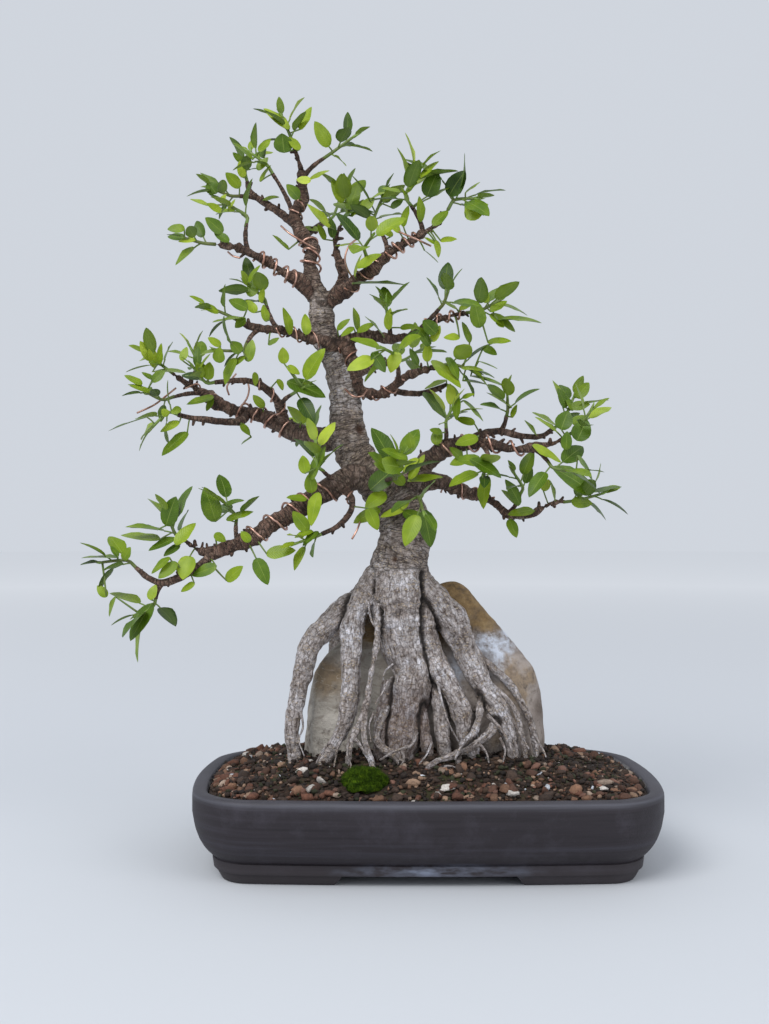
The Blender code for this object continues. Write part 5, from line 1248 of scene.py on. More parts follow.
def make_pot(look):
    """The bowl with its band and four wide feet, cut and drilled as the solid is."""
    wall = [(z, rounded_rectangle(inset)) for z, inset in pot_profile()]
    pot = make_mesh("pot_clay", stack_part(wall), [look])
    ring_top = FOOT_HEIGHT + 0.002
    low = FOOT_INSET + FOOT_TAPER
    feet = make_mesh("feet", stack_part([
        (0.0, rounded_rectangle(low + 0.0020)), (0.0004, rounded_rectangle(low + 0.0010)),
        (0.0014, rounded_rectangle(low + 0.0002)), (0.0055, rounded_rectangle(low - 0.0024)),
        (ring_top, rounded_rectangle(FOOT_INSET + 0.0002))]), [look])
    inside = FOOT_INSET + FOOT_THICKNESS
    cutters = [make_mesh("cut", stack_part([(-0.01, rounded_rectangle(inside)),
                                            (ring_top + 0.01, rounded_rectangle(inside))]), [])]
    slant_x = (FRONT_FOOT_GAP - 2 * FOOT_SLANT) / (FRONT_FOOT_GAP + 2 * FOOT_SLANT)
    slant_y = (SIDE_FOOT_GAP - 2 * FOOT_SLANT) / (SIDE_FOOT_GAP + 2 * FOOT_SLANT)
    wide = (FRONT_FOOT_GAP + 2 * FOOT_SLANT, POT_DEPTH, 0.03)
    deep = (POT_WIDTH, SIDE_FOOT_GAP + 2 * FOOT_SLANT, 0.03)
    cutters.append(make_mesh("cut", box_part(wide, (slant_x, 1)), []))
    cutters.append(make_mesh("cut", box_part(deep, (1, slant_y)), []))
    combine(feet, cutters, "DIFFERENCE")
    combine(pot, [feet], "UNION")
    turn = np.linspace(0, 2 * math.pi, 32, endpoint=False)
    ring = DRAIN_RADIUS * np.column_stack([np.cos(turn), np.sin(turn)])
    holes = []
    for side in (-DRAIN_OFFSET, DRAIN_OFFSET):
        drill = stack_part([(z, ring + (side, 0)) for z in (0, FLOOR_TOP + 0.004)])
        holes.append(make_mesh("cut", drill, []))
    combine(pot, holes, "DIFFERENCE")
    pot.data.set_sharp_from_angle(angle=math.radians(38))
    return finish_piece(pot, "clay", "pot")


# Soil, gravel, moss and stone


def inner_inset(z):
    """How far the pot's inner wall lies inside its widest outline at height z."""
    heights = [row[0] for row in reversed(INNER_WALL)]
    insets = [row[1] for row in reversed(INNER_WALL)]
    return float(np.interp(z, heights, insets))


def soil_edge():
    """The soil's outline at its edge, and its points' angle and distance from the middle."""
    outline = rounded_rectangle(inner_inset(SOIL_EDGE) + 1.6 * GAP, 30)
    angle = np.arctan2(outline[:, 1], outline[:, 0])
    order = np.argsort(angle)
    return outline, angle[order], np.linalg.norm(outline, axis=1)[order]


def soil_share(x, y):
    """Distance from the pot's middle as a share of the way to its wall."""
    _, angles, reach = soil_edge()
    wall = np.interp(np.arctan2(y, x), angles, reach, period=2 * math.pi)
    return np.hypot(x, y) / wall


def soil_top(x, y):
    """Height of the mounded soil: edge + (crown - edge)(1 - s^2)^0.9, with s the share of the way to
    the wall, plus a low relief of clods."""
    share = np.clip(soil_share(x, y), 0, 1)
    edge = SOIL_EDGE + SOIL_RISE
    smooth = edge + (SOIL_CROWN - edge) * np.maximum(1 - share**2, 0) ** 0.9
    spot = np.stack([x, y, np.zeros_like(x)], axis=-1)
    clods = 0.0020 * noise(spot, 0.016, 3) + 0.0012 * noise(spot, 0.006, 4)
    return smooth + clods * np.clip((1 - share) * 12, 0, 1)


def make_soil(look):
    """The soil's surface and the sides that fill the pot."""
    points = []
    for z in (FLOOR_TOP + GAP, 0.0210, 0.0300, 0.0480):
        ring = rounded_rectangle(inner_inset(z) + 1.6 * GAP, 30)
        points.append(np.column_stack([ring, np.full(len(ring), z)]))
    outline, _, _ = soil_edge()
    for share in np.linspace(1, 0.012, 60):
        spot = outline * share
        points.append(np.column_stack([spot, soil_top(spot[:, 0], spot[:, 1])]))
    part = {"points": np.vstack(points), "faces": closed_faces(len(points), len(outline), False)}
    return finish_piece(make_mesh("soil_humus", part, [look]), "gravel", "soil")


def stone_shape(sides, rings):
    """A round shape of unit radius: rings of `sides` points between two poles, its quads and ends."""
    rise = np.linspace(-math.pi / 2, math.pi / 2, rings + 2)[1:-1]
    turn = np.arange(sides) * 2 * math.pi / sides
    points = np.stack([np.outer(np.cos(rise), np.cos(turn)), np.outer(np.cos(rise), np.sin(turn)),
                       np.repeat(np.sin(rise)[:, None], sides, axis=1)], axis=-1).reshape(-1, 3)
    quads, first, last = closed_faces(rings, sides, True)
    return np.vstack([points, (0, 0, -1), (0, 0, 1)]), quads, np.vstack([first, last])


def gravel_places(chance, count, radius, rim):
    """Draws places for stones on the soil; with `rim` they gather along the front and the sides
    and in loose patches."""
    outline, _, _ = soil_edge()
    half = outline.max(0)
    x = chance.uniform(-half[0], half[0], count * 6)
    y = chance.uniform(-half[1], half[1], count * 6)
    share = soil_share(x, y)
    patches = noise(np.stack([x, y, 0 * x], axis=-1), 0.016, 12)
    lean = 0.05 + 0.30 * np.clip((-y - 0.045) / 0.03, 0, 1) + 0.30 * (share > 0.90) + 0.25 * (x < -0.11)
    lean = np.clip(lean + 0.40 * patches, 0, 1)
    wanted = chance.random(count * 6) < (lean if rim else 1.0)
    moss = np.hypot((x - MOSS_CENTRE[0]) / 1.15, (y - MOSS_CENTRE[1]) / 0.75) < MOSS_RADIUS * 1.1
    keep = (share < 1 - radius / 0.09) & wanted & ~moss
    return x[keep][:count], y[keep][:count]


def stones_part(chance, x, y, radius, spread, shape, colours, shares, sunk):
    """Many stones: a round shape stretched, roughened, cut flat on some sides and set on the soil,
    level or turned at random. A unit quaternion (w, v) turns a point p to p + 2 v x (w p + v x p)."""
    template, quads, ends = shape
    count = len(x)
    size = radius * np.exp(np.clip(chance.normal(0, spread, count), -0.9, 0.75))
    ranges = ((0.9, 1.45), (0.7, 1.1), (0.45, 0.80))
    stretch = size[:, None] * np.column_stack([chance.uniform(*limits, count) for limits in ranges])
    bumps = 1 + 0.22 * chance.uniform(-1, 1, (count, len(template)))
    local = template[None] * bumps[..., None]
    for _ in range(3):
        side = units(chance.normal(size=(count, 3)))
        over = np.maximum((local * side[:, None]).sum(2) - 0.62, 0)
        local = local - over[..., None] * side[:, None]
    local = local * stretch[:, None]
    turns = units(chance.normal(size=(count, 4)))
    flat = chance.random(count) < 0.6
    spin = chance.uniform(0, 2 * math.pi, count) / 2
    turns[flat] = np.column_stack([np.cos(spin), 0 * spin, 0 * spin, np.sin(spin)])[flat]
    w, v = turns[:, None, :1], turns[:, None, 1:]
    placed = local + 2 * np.cross(v, w * local + np.cross(v, local))
    placed = placed + np.stack([x, y, soil_top(x, y) + size * sunk], axis=-1)[:, None]
    starts = (np.arange(count) * len(template))[:, None, None]
    tint = np.array(colours)[chance.choice(len(colours), count, p=shares)]
    tint = tint * chance.uniform(0.70, 1.25, (count, 1))
    return {
        "points": placed.reshape(-1, 3),
        "faces": [(quads[None] + starts).reshape(-1, 4), (ends[None] + starts).reshape(-1, 3)],
        "tint": np.repeat(tint, len(template), axis=0),
    }


def make_gravel(look):
    """Pebbles, thickest along the front and the rim, finer grains, and crumbs of humus."""
    chance = np.random.default_rng(GRAVEL_SEED)
    pebble = stone_shape(8, 4)
    grain = stone_shape(5, 2)
    x, y = gravel_places(chance, PEBBLES, PEBBLE_RADIUS, True)
    part = stones_part(chance, x, y, PEBBLE_RADIUS, 0.42, pebble, GRAVEL_COLOURS, GRAVEL_SHARES, 0.35)
    finish_piece(make_mesh("gravel_pebbles", part, [look]), "gravel")
    x, y = gravel_places(chance, GRAINS // 4, GRAIN_RADIUS, False)
    part = stones_part(chance, x, y, GRAIN_RADIUS, 0.40, grain, GRAVEL_COLOURS, GRAVEL_SHARES, 0.4)
    finish_piece(make_mesh("gravel_grains", part, [look]), "gravel")
    x, y = gravel_places(chance, GRAINS, GRAIN_RADIUS, False)
    shares = [0.36, 0.30, 0.19, 0.15]
    part = stones_part(chance, x, y, GRAIN_RADIUS * 1.2, 0.45, grain, HUMUS_COLOURS, shares, 0.5)
    finish_piece(make_mesh("humus_crumbs", part, [look]), "gravel")


def moss_base():
    """Height of the flat bed in the soil that carries the moss."""
    share = max(abs(MOSS_CENTRE[0]) / (POT_WIDTH / 2), abs(MOSS_CENTRE[1]) / (POT_DEPTH / 2 - RIM_WIDTH))
    return SOIL_EDGE + (SOIL_CROWN - SOIL_EDGE) * (1 - share**2) ** 0.9 - MOSS_SUNK


def moss_surface(share, angle):
    """The moss cushion: radius R(1 + 0.10 sin(3a + 1) + 0.06 sin 5a) times the share, height going as
    (1 - share^2)^0.4, with tufts."""
    radius = MOSS_RADIUS * share * (1 + 0.10 * np.sin(3 * angle + 1) + 0.06 * np.sin(5 * angle))
    x = MOSS_CENTRE[0] + 1.05 * radius * np.cos(angle)
    y = MOSS_CENTRE[1] + 0.75 * radius * np.sin(angle)
    z = moss_base() + MOSS_DOME * np.maximum(1 - share**2, 0) ** 0.4
    points = np.stack([x, y, z], axis=-1)
    return points + np.stack([0 * x, 0 * x, 0.0018 * noise(points, 0.0045, 9)], axis=-1)


def make_moss(look):
    """A cushion of moss, its short threads, and loose tufts on the soil."""
    chance = np.random.default_rng(5)
    share = np.linspace(1, 0.02, 18)[:, None]
    angle = np.linspace(0, 2 * math.pi, 48, endpoint=False)[None]
    grid = moss_surface(share + 0 * angle, angle + 0 * share)
    part = {"points": grid.reshape(-1, 3), "faces": closed_faces(18, 48, False)}
    finish_piece(make_mesh("moss_cushion", part, [look]), "moss", "moss")
    angle = chance.uniform(0, 2 * math.pi, MOSS_THREADS)
    share = np.sqrt(chance.random(MOSS_THREADS)) * 0.99
    foot = [moss_surface(share, angle)]
    for x, y, spread, many in MOSS_TUFTS:
        places = chance.normal(0, spread, (many, 2)) * (1.4, 1.0) + (x, y)
        places = places[soil_share(places[:, 0], places[:, 1]) < 0.93]
        foot.append(np.column_stack([places, soil_top(places[:, 0], places[:, 1]) - 0.0004]))
    foot = np.vstack(foot)
    cushion = np.arange(len(foot)) < MOSS_THREADS
    centre = np.array((*MOSS_CENTRE, moss_base()))
    out = units(np.where(cushion[:, None], foot - centre, (0, 0, 1.0)) + (0, 0, 0.010))
    lean = units(out + chance.normal(0, 0.35, foot.shape))
    across = units(np.cross(lean, (0.31, 0.53, 0.79)))
    above = np.cross(lean, across)
    tall = (chance.uniform(0.0010, 0.0024, len(foot)) * np.where(cushion, 1.7, 1.0))[:, None]
    wide = chance.uniform(0.00018, 0.00032, len(foot))[:, None]
    corners = []
    for turn in (0, 2 * math.pi / 3, 4 * math.pi / 3):
        corners.append(foot - 0.0006 * lean + wide * (math.cos(turn) * across + math.sin(turn) * above))
    points = np.stack([*corners, foot + tall * lean], axis=1).reshape(-1, 3)
    faces = np.array(((0, 1, 3), (1, 2, 3), (2, 0, 3), (2, 1, 0)))
    starts = (np.arange(len(foot)) * 4)[:, None, None]
    threads = {"points": points, "faces": [(faces[None] + starts).reshape(-1, 3)]}
    finish_piece(make_mesh("moss_threads", threads, [look]), "moss")


def stone_planes():
    """The outward directions and distances of the faces of the stone's body, from its middle."""
    shape = bmesh.new()
    for corner in STONE_CORNERS:
        shape.verts.new(corner)
    bmesh.ops.convex_hull(shape, input=shape.verts)
    middle = np.mean(STONE_CORNERS, axis=0)
    bmesh.ops.recalc_face_normals(shape, faces=shape.faces)
    normals = np.array([tuple(face.normal) for face in shape.faces])
    places = np.array([tuple(face.calc_center_median()) for face in shape.faces]) - middle
    shape.free()
    reach = (normals * places).sum(1)
    normals = normals * np.sign(reach)[:, None]
    return middle, normals, np.abs(reach)


def make_stone(look):
    """The stone: in each direction its radius is 1 over the 30th root of the sum of (n.d / h)^30 over its
    faces' normals n and distances h, which is the faceted body with rounded edges, plus a rough relief."""
    middle, normals, reach = stone_planes()
    ways, quads, ends = stone_shape(380, 190)
    radius = (np.maximum(ways @ normals.T / reach, 0) ** 30).sum(1) ** (-1 / 30)
    points = middle + ways * radius[:, None]
    relief = 0.0016 * noise(points, 0.030, 1) + 0.0008 * noise(points, 0.011, 2)
    relief = relief + 0.00035 * noise(points, 0.004, 3)
    part = {"points": points + ways * (relief - 0.0008)[:, None], "faces": [quads, ends]}
    return finish_piece(make_mesh("stone_weathered", part, [look]), "rock", "stone")


# Wood


def root_routes():
    """The roots' points; those that leave the trunk's base start inside it."""
    routes = {}
    for name, points in ROOTS.items():
        if points[0][2] > 0.19:
            points = [FLARE_START[:3] + (min(FLARE_START[3], points[0][3]),)] + points
        routes[name] = points
    return routes


def limb_relief(flat):
    """Relief of a branch's bark as a share of its radius: slow swellings and fine cross wrinkles."""
    slow = 0.15 * noise(flat, (0.005, 0.005, 0.007), 21)
    return slow + 0.10 * noise(flat, (0.004, 0.004, 0.0022), 22) + 0.05 * noise(flat, 0.0014, 23)


def wood_tone(name, points):
    """How brown the bark is along a route: 0 on the pale roots, 0.4 on the trunk and 1 on the twigs."""
    if name in ROOTS:
        return (0.12, 0.05, 0.0, 0.04) if name != "centre" else (0.10, 0.02, 0.10, 0.25)
    if name == "trunk":
        return (0.14, 0.34, 0.42, 0.16, 0.40)
    thickest = max(row[3] for row in points)
    return (0.60, 0.85, 1.0) if thickest > 0.008 else (0.85, 1.0, 1.0)


def melted_wood(names_and_points):
    """Melts the thick wood's tubes into one smooth skin: its points, normals and quads."""
    parts = []
    for name, points in names_and_points:
        sides = 30 if name == "trunk" else 20
        parts.append(tube_part(fine_route(points), sides))
    thing = make_mesh("melt", join_parts(parts), [])
    melt = thing.modifiers.new("melt", "REMESH")
    melt.mode = "VOXEL"
    melt.voxel_size = MELT_GRID
    soften = thing.modifiers.new("soften", "SMOOTH")
    soften.factor = 0.5
    soften.iterations = MELT_PASSES
    apply_modifiers(thing)
    mesh = thing.data
    points = np.empty(len(mesh.vertices) * 3, np.float32)
    mesh.vertices.foreach_get("co", points)
    normals = np.empty(len(mesh.vertices) * 3, np.float32)
    mesh.vertex_normals.foreach_get("vector", normals)
    loops = np.empty(len(mesh.loops), np.int32)
    mesh.loops.foreach_get("vertex_index", loops)
    bpy.data.objects.remove(thing)
    return points.reshape(-1, 3) - SHIFT, normals.reshape(-1, 3), loops.reshape(-1, 4)


def nearest_grain(points, names_and_points):
    """For each point, the straightened place on the nearest route (across, above, along), the
    tone there, and how close another root's skin is, from 0 to 1 in the crease between."""
    rows = []
    first_rows = []
    for number, (name, route) in enumerate(names_and_points):
        fine = fine_route(route, 0.004)
        tangents, across, above = frames_along(fine[:, :3])
        travelled = distance_along(fine[:, :3])
        tone = tones_along(travelled, wood_tone(name, route))
        first_rows.append(sum(map(len, rows)))
        rows.append(np.column_stack([fine, tangents, across, above, travelled + 0.37 * number, tone]))
    rows = np.vstack(rows)
    roots = np.array([name in ROOTS for name, _ in names_and_points])
    found = []
    for block in np.split(points, range(6000, len(points), 6000)):
        gap = np.linalg.norm(block[:, None] - rows[None, :, :3], axis=2) - rows[None, :, 3]
        best = rows[gap.argmin(1)]
        local = block - best[:, :3]
        by_route = np.minimum.reduceat(gap, first_rows, axis=1)
        two = np.argsort(by_route, axis=1)[:, :2]
        apart = np.diff(np.take_along_axis(by_route, two, axis=1), axis=1)[:, 0]
        crease = np.clip(1 - apart / CREASE, 0, 1) * roots[two].all(axis=1)
        found.append(np.column_stack([(local * best[:, 7:10]).sum(1), (local * best[:, 10:13]).sum(1),
                                      (local * best[:, 4:7]).sum(1) + best[:, 13], best[:, 14], crease]))
    found = np.vstack(found)
    return found[:, :3], found[:, 3], found[:, 4]


def wound_marks(points):
    """Height and brown share that knots, scars and burls add at each point: a swelling
    exp(-0.8 (d / r)^2) with a hole exp(-(1.7 d / r)^4) in it."""
    height = np.zeros(len(points))
    brown = np.zeros(len(points))
    for *centre, radius, rise, hole, stain in KNOTS:
        far = np.linalg.norm(points - centre, axis=1) / radius
        pit = np.exp(-((far * 1.7) ** 4))
        height += rise * np.exp(-(far**2) * 0.8) - hole * pit
        brown = np.maximum(brown, stain * pit)
    return height, brown


def bark_skin(points, normals, grain, tone, crease):
    """Moves the melted skin in and out: burls and hollows, wrinkles across the trunk, ridges along
    the roots, creases, folds over the middle root, and knots. Also returns how raised each point is, from
    0 to 1, and its brown share."""
    slow = 0.0011 * noise(points, 0.016, 31) + 0.0008 * noise(points, 0.007, 32)
    across = noise(grain, (0.014, 0.014, 0.0032), 33)
    along = noise(grain, (0.0032, 0.0032, 0.016), 34)
    crackle = noise(points, 0.0030, 35)
    wrinkles = np.clip(tone * 3, 0, 1)
    height = slow + 0.00110 * across * (0.35 + 0.65 * wrinkles) + 0.00080 * along * (1.1 - wrinkles)
    height = height + 0.00045 * crackle - 0.0024 * crease
    middle = points - np.array((-0.018, 0.0, 0.183))
    for number, reach in enumerate((0.010, 0.017, 0.023)):
        arch = np.hypot(middle[:, 0] * 0.75, middle[:, 2]) + 0.0015 * noise(points, 0.008, 36 + number)
        front = (points[:, 1] < 0) & (middle[:, 2] > -0.004) & (np.abs(middle[:, 0]) < 0.030)
        fold = np.exp(-(((arch - reach) / 0.0016) ** 2)) * front
        height = height + (0.0016, 0.0012, 0.0008)[number] * fold
    lumps = np.clip((0.140 - points[:, 2]) / 0.020, 0, 1) * (np.abs(points[:, 0] + 0.017) < 0.022)
    height = height + lumps * (0.0016 * noise(points, 0.010, 38) + 0.0009 * noise(points, 0.005, 39))
    marks, brown = wound_marks(points)
    raised = 0.5 + 0.20 * (across * wrinkles + along * (1 - wrinkles) + crackle) + 110 * slow - 0.9 * crease
    brown = np.maximum(brown, 0.45 * lumps * (points[:, 1] < 0))
    return points + normals * (height + marks)[:, None], np.clip(raised, 0, 1), brown


def spurs():
    """Short dark stubs of old twigs and buds along the branches."""
    chance = np.random.default_rng(8)
    parts = []
    for points in BRANCHES.values():
        fine = fine_route(points, 0.002)
        _, across, above = frames_along(fine[:, :3])
        for index in range(3, len(fine) - 2, max(int(SPUR_STEP / 0.002), 1)):
            angle = chance.uniform(0, 2 * math.pi)
            out = math.cos(angle) * across[index] + math.sin(angle) * above[index]
            ahead = unit(fine[index + 1, :3] - fine[index, :3])
            out = unit(out + chance.uniform(0.1, 0.9) * ahead)
            size = chance.uniform(0.0014, 0.0042)
            foot = fine[index, :3] + 0.55 * fine[index, 3] * out
            reach = 0.45 * fine[index, 3] + size
            thick = min(0.0013, 0.55 * fine[index, 3]) * chance.uniform(0.7, 1.2)
            route = [(*(foot + share * reach * out), thick * width)
                     for share, width in ((0, 1.5), (0.4, 1.0), (0.75, 0.9), (1, 0.55))]
            parts.append(tube_part(np.array(route), 7, 0.95, limb_relief))
    return parts


def make_wood(look):
    """The roots, trunk and thick limbs as one melted skin, and the thinner wood as tubes."""
    thick = [("trunk", TRUNK)]
    thin = []
    for name, points in {**root_routes(), **BRANCHES}.items():
        limit = THICK_WOOD if name in BRANCHES else 0.0036
        (thick if max(row[3] for row in points) > limit else thin).append((name, points))
    points, normals, quads = melted_wood(thick)
    grain, tone, crease = nearest_grain(points, thick)
    pale = np.interp(points[:, 2], (0.195, 0.262, 0.263), (0.04, 0.40, 1.0))
    tone = np.where(points[:, 0] > -0.062, np.minimum(tone, pale), tone)
    points, raised, brown = bark_skin(points, normals, grain, tone, crease)
    part = {"points": points, "faces": [quads], "grain": grain, "tone": tone, "raised": raised,
            "wound": brown, "crease": crease}
    finish_piece(make_mesh("wood_trunk_and_roots", part, [look]), "bark", "tree_wood")
    parts = spurs()
    for name, route in thin:
        parts.append(tube_part(fine_route(route, 0.0013), 16, wood_tone(name, route), limb_relief))
    for entry in SHOOTS:
        twig, _ = twig_and_shoot(entry)
        if twig is not None:
            parts.append(tube_part(smooth_route(twig, 24), 12, (0.95, 1.0), limb_relief))
    for pixels, radius in ROOTLETS:
        base, slope = ROOTLET_DEPTH
        places = [photo_point(c, r, base + slope * (r - 640)) for c, r in pixels]
        rows = smooth_route(np.column_stack([places, np.linspace(radius, 0.5 * radius, len(places))]), 22)
        parts.append(tube_part(rows, 8, 0.0, limb_relief))
    part = join_parts(parts)
    count = len(part["points"])
    part["raised"] = 0.5 + 0.4 * noise(part["points"], 0.003, 41)
    part["wound"] = np.zeros(count)
    part["crease"] = np.zeros(count)
    finish_piece(make_mesh("wood_branches_and_twigs", part, [look]), "bark")


# Wires


def wire_route(host, first, last, turns, start_angle, radius, seat, per_turn=26):
    """A coil round a branch, as far from its centre line as the branch's radius there, the wire's
    own radius and its seat."""
    rings = HOSTS[host]
    places = np.linspace(0, len(rings) - 1, 401)
    fine = np.column_stack([np.interp(places, range(len(rings)), rings[:, k]) for k in range(4)])
    _, across, above = frames_along(smooth_route(CARRIERS[host], 401)[:, :3])
    share = np.linspace(0, 1, int(abs(turns) * per_turn) + 1)
    index = np.round(400 * (first + share * (last - first))).astype(int)
    angle = math.radians(start_angle) + 2 * math.pi * turns * share
    reach = fine[index, 3] + radius + seat
    out = np.cos(angle)[:, None] * across[index] + np.sin(angle)[:, None] * above[index]
    return np.column_stack([fine[index, :3] + reach[:, None] * out, np.full(len(index), radius)])


def make_wires(look):
    """The solids' coils made round, more coils of thinner wire, and free ends."""
    for name, host, first, last, turns, start_angle in WIRES:
        route = wire_route(host, first, last, turns, start_angle, SEEN_WIRE_RADIUS, WIRE_SEAT)
        coil = make_mesh(name.replace("wire", "coil"), tube_part(route, 10), [look])
        finish_piece(coil, "wire", name)
    parts = []
    for host, first, last, turns, start_angle in EXTRA_COILS:
        route = wire_route(host, first, last, turns, start_angle, THIN_WIRE_RADIUS, 0.0002)
        parts.append(tube_part(route, 8))
    for pixels in WIRE_ENDS:
        places = [photo_point(*row) for row in pixels]
        rows = smooth_route(np.column_stack([places, np.full(len(places), THIN_WIRE_RADIUS)]), 24)
        parts.append(tube_part(rows, 8))
    finish_piece(make_mesh("wire_thin_coils_and_ends", join_parts(parts), [look]), "wire")


# Finishes


class Value:
    """What a node puts out; a sum on it adds the node that works it out."""

    def __init__(self, socket):
        self.socket = socket
        self.tree = socket.id_data

    def __add__(self, other):
        return maths("ADD", self, other)

    def __sub__(self, other):
        return maths("SUBTRACT", self, other)

    def __mul__(self, other):
        return maths("MULTIPLY", self, other)


def put(tree, socket, value):
    """Links a value to a socket, or sets it to a plain number or to a colour in thousandths."""
    if isinstance(value, Value):
        tree.links.new(value.socket, socket)
    else:
        socket.default_value = (*np.array(value) / 1000, 1.0) if socket.type == "RGBA" else value


def add(tree, kind, values=(), output=0, **settings):
    """Adds a node, fills its sockets from (socket, value) pairs and returns one of its outputs."""
    made = tree.nodes.new(kind)
    for key, value in settings.items():
        setattr(made, key, value)
    for key, value in values:
        put(tree, made.inputs[key], value)
    return Value(made.outputs[output])


def new_finish(name):
    """A new material and the place on the object in metres."""
    look = bpy.data.materials.new(name)
    look.use_nodes = True
    return look, add(look.node_tree, "ShaderNodeTexCoord", output="Object")


def finished(look, colour, roughness, relief=None, depth=0.0, **others):
    """Sets a material's colour, its roughness, a relief of some metres' depth and other sockets."""
    tree = look.node_tree
    values = {"Base Color": colour, "Roughness": roughness}
    if relief:
        bump = [("Height", relief), ("Distance", depth), ("Strength", 1.0)]
        values["Normal"] = add(tree, "ShaderNodeBump", bump)
    values.update({key.replace("_", " "): value for key, value in others.items()})
    for key, value in values.items():
        put(tree, tree.nodes["Principled BSDF"].inputs[key], value)
    return look


def attribute(place, name, output="Fac"):
    """An attribute of the mesh."""
    return add(place.tree, "ShaderNodeAttribute", output=output, attribute_name=name)


def scaled(place, scale):
    """A place, scaled along each direction."""
    return add(place.tree, "ShaderNodeMapping", [("Vector", place), ("Scale", scale)])


def axes(place):
    """The three numbers of a place."""
    parts = add(place.tree, "ShaderNodeSeparateXYZ", [("Vector", place)]).socket.node
    return [Value(socket) for socket in parts.outputs]


def vectors(operation, first, second, socket=1, output=0):
    """A sum on two places."""
    values = [(0, first), (socket, second)]
    return add(first.tree, "ShaderNodeVectorMath", values, output, operation=operation)


def wavy(place, scale, amount):
    """A place pushed about by a noise texture, so that lines drawn on it wander."""
    push = add(place.tree, "ShaderNodeTexNoise", [("Vector", place), ("Scale", scale)], "Color")
    push = vectors("SCALE", vectors("SUBTRACT", push, (0.5, 0.5, 0.5)), amount, "Scale")
    return vectors("ADD", place, push)


def cloud(place, scale, detail=4.0, rough=0.6, bend=0.0):
    """A noise texture's value; `bend` makes its streaks wander."""
    values = [("Vector", place), ("Scale", scale), ("Detail", detail), ("Roughness", rough),
              ("Distortion", bend)]
    return add(place.tree, "ShaderNodeTexNoise", values)


def cells(place, feature):
    """The distance that a Voronoi texture gives."""
    values = [("Vector", place), ("Scale", 1.0)]
    return add(place.tree, "ShaderNodeTexVoronoi", values, "Distance", feature=feature)


def ramp(factor, *stops):
    """A colour ramp through stops of a place and a colour in thousandths."""
    colour = add(factor.tree, "ShaderNodeValToRGB", [("Fac", factor)])
    points = colour.socket.node.color_ramp.elements
    while len(points) < len(stops):
        points.new(0.5)
    for point, (at, *shade) in zip(points, stops):
        point.position = at
        point.color = (*np.broadcast_to(np.array(shade) / 1000, 3), 1.0)
    return colour


def spread(value, low, high, to_low=0.0, to_high=1.0):
    """Maps a value's range onto another one, held at its ends."""
    values = [("Value", value), ("From Min", low), ("From Max", high), ("To Min", to_low),
              ("To Max", to_high)]
    return add(value.tree, "ShaderNodeMapRange", values)


def mix(share, first, second, kind="MIX"):
    """Mixes two colours."""
    tree = (first if isinstance(first, Value) else share).tree
    values = [(0, share), (6, first), (7, second)]
    return add(tree, "ShaderNodeMix", values, 2, data_type="RGBA", blend_type=kind)


def maths(operation, first, second=0.0):
    """One sum on two values."""
    return add(first.tree, "ShaderNodeMath", [(0, first), (1, second)], operation=operation)


def near(value, middle, reach):
    """1 where a value is at `middle`, falling to 0 at `reach` from it."""
    return spread(maths("ABSOLUTE", value - middle), 0.0, reach, 1.0, 0.0)


def clay_finish():
    """Dark clay: level sponge streaks, a paler bloom, a pale band round the lip that is a painted highlight
    on its rounded edge, a bluish stain on the band between the feet and a thin line of lime inside the lip."""
    look, place = new_finish("unglazed_dark_clay")
    x, y, z = axes(place)
    streaks = cloud(scaled(place, (6, 6, 190)), 1.0, 6.0, 0.62)
    body = ramp(streaks, (0.30, 14, 11, 14), (0.52, 25, 20, 25), (0.74, 42, 39, 50))
    body = mix(spread(cloud(place, 22.0, 6.0, 0.7), 0.50, 0.70, 0.0, 0.45), body, (62, 56, 72))
    # Painted highlight: a pale bluish band, streaked, at the height of the lip's rounded edge.
    body = mix(near(z, 0.0615, 0.0040) * spread(streaks, 0.35, 0.65, 0.25, 0.8), body, (120, 122, 145))
    body = mix(spread(z, 0.0100, 0.0175, 0.50, 0.0), body, (48, 40, 42))
    stain = near(z, 0.0115, 0.0075) * near(x, float(SHIFT[0]) + 0.004, 0.080) * spread(y, -0.05, -0.07)
    stain = stain * spread(cloud(scaled(place, (45, 45, 150)), 1.0), 0.40, 0.64)
    body = mix(stain, body, (230, 260, 340))
    lime = near(z, 0.0590, 0.0035) * inner_wall_mask(place) * spread(cloud(place, 120.0), 0.44, 0.60)
    body = mix(lime, body, (500, 490, 480))
    grit = streaks + cloud(place, 900.0, 2.0) * 0.5
    roughness = spread(streaks, 0.3, 0.7, 0.52, 0.70)
    return finished(look, body, roughness, grit, 0.00030, Specular_IOR_Level=0.35)


def inner_wall_mask(place):
    """1 where the surface faces the pot's middle and 0 where it faces away from it."""
    faces = add(place.tree, "ShaderNodeNewGeometry", output="Normal")
    from_middle = vectors("SUBTRACT", place, (float(SHIFT[0]), float(SHIFT[1]), 0.05))
    return spread(vectors("DOT_PRODUCT", faces, from_middle, 1, "Value"), -0.020, -0.005, 1.0, 0.0)


def humus_finish():
    """Dark crumbly humus."""
    look, place = new_finish("dark_humus")
    fine = cloud(place, 420.0, 6.0, 0.7)
    body = ramp(fine, (0.35, 14, 8, 5), (0.55, 40, 21, 12), (0.75, 95, 50, 26))
    body = mix(spread(cloud(place, 28.0), 0.55, 0.68, 0.0, 0.55), body, (40, 55, 10))
    return finished(look, body, 0.95, fine, 0.0016)


def gravel_finish():
    """Stones in their own colours, each a little blotched."""
    look, place = new_finish("mixed_gravel")
    blotch = cloud(place, 520.0, 5.0, 0.65)
    body = mix(1.0, attribute(place, "tint", "Color"), ramp(blotch, (0.30, 550), (0.70, 1350)), "MULTIPLY")
    return finished(look, body, 0.88, blotch, 0.0006)


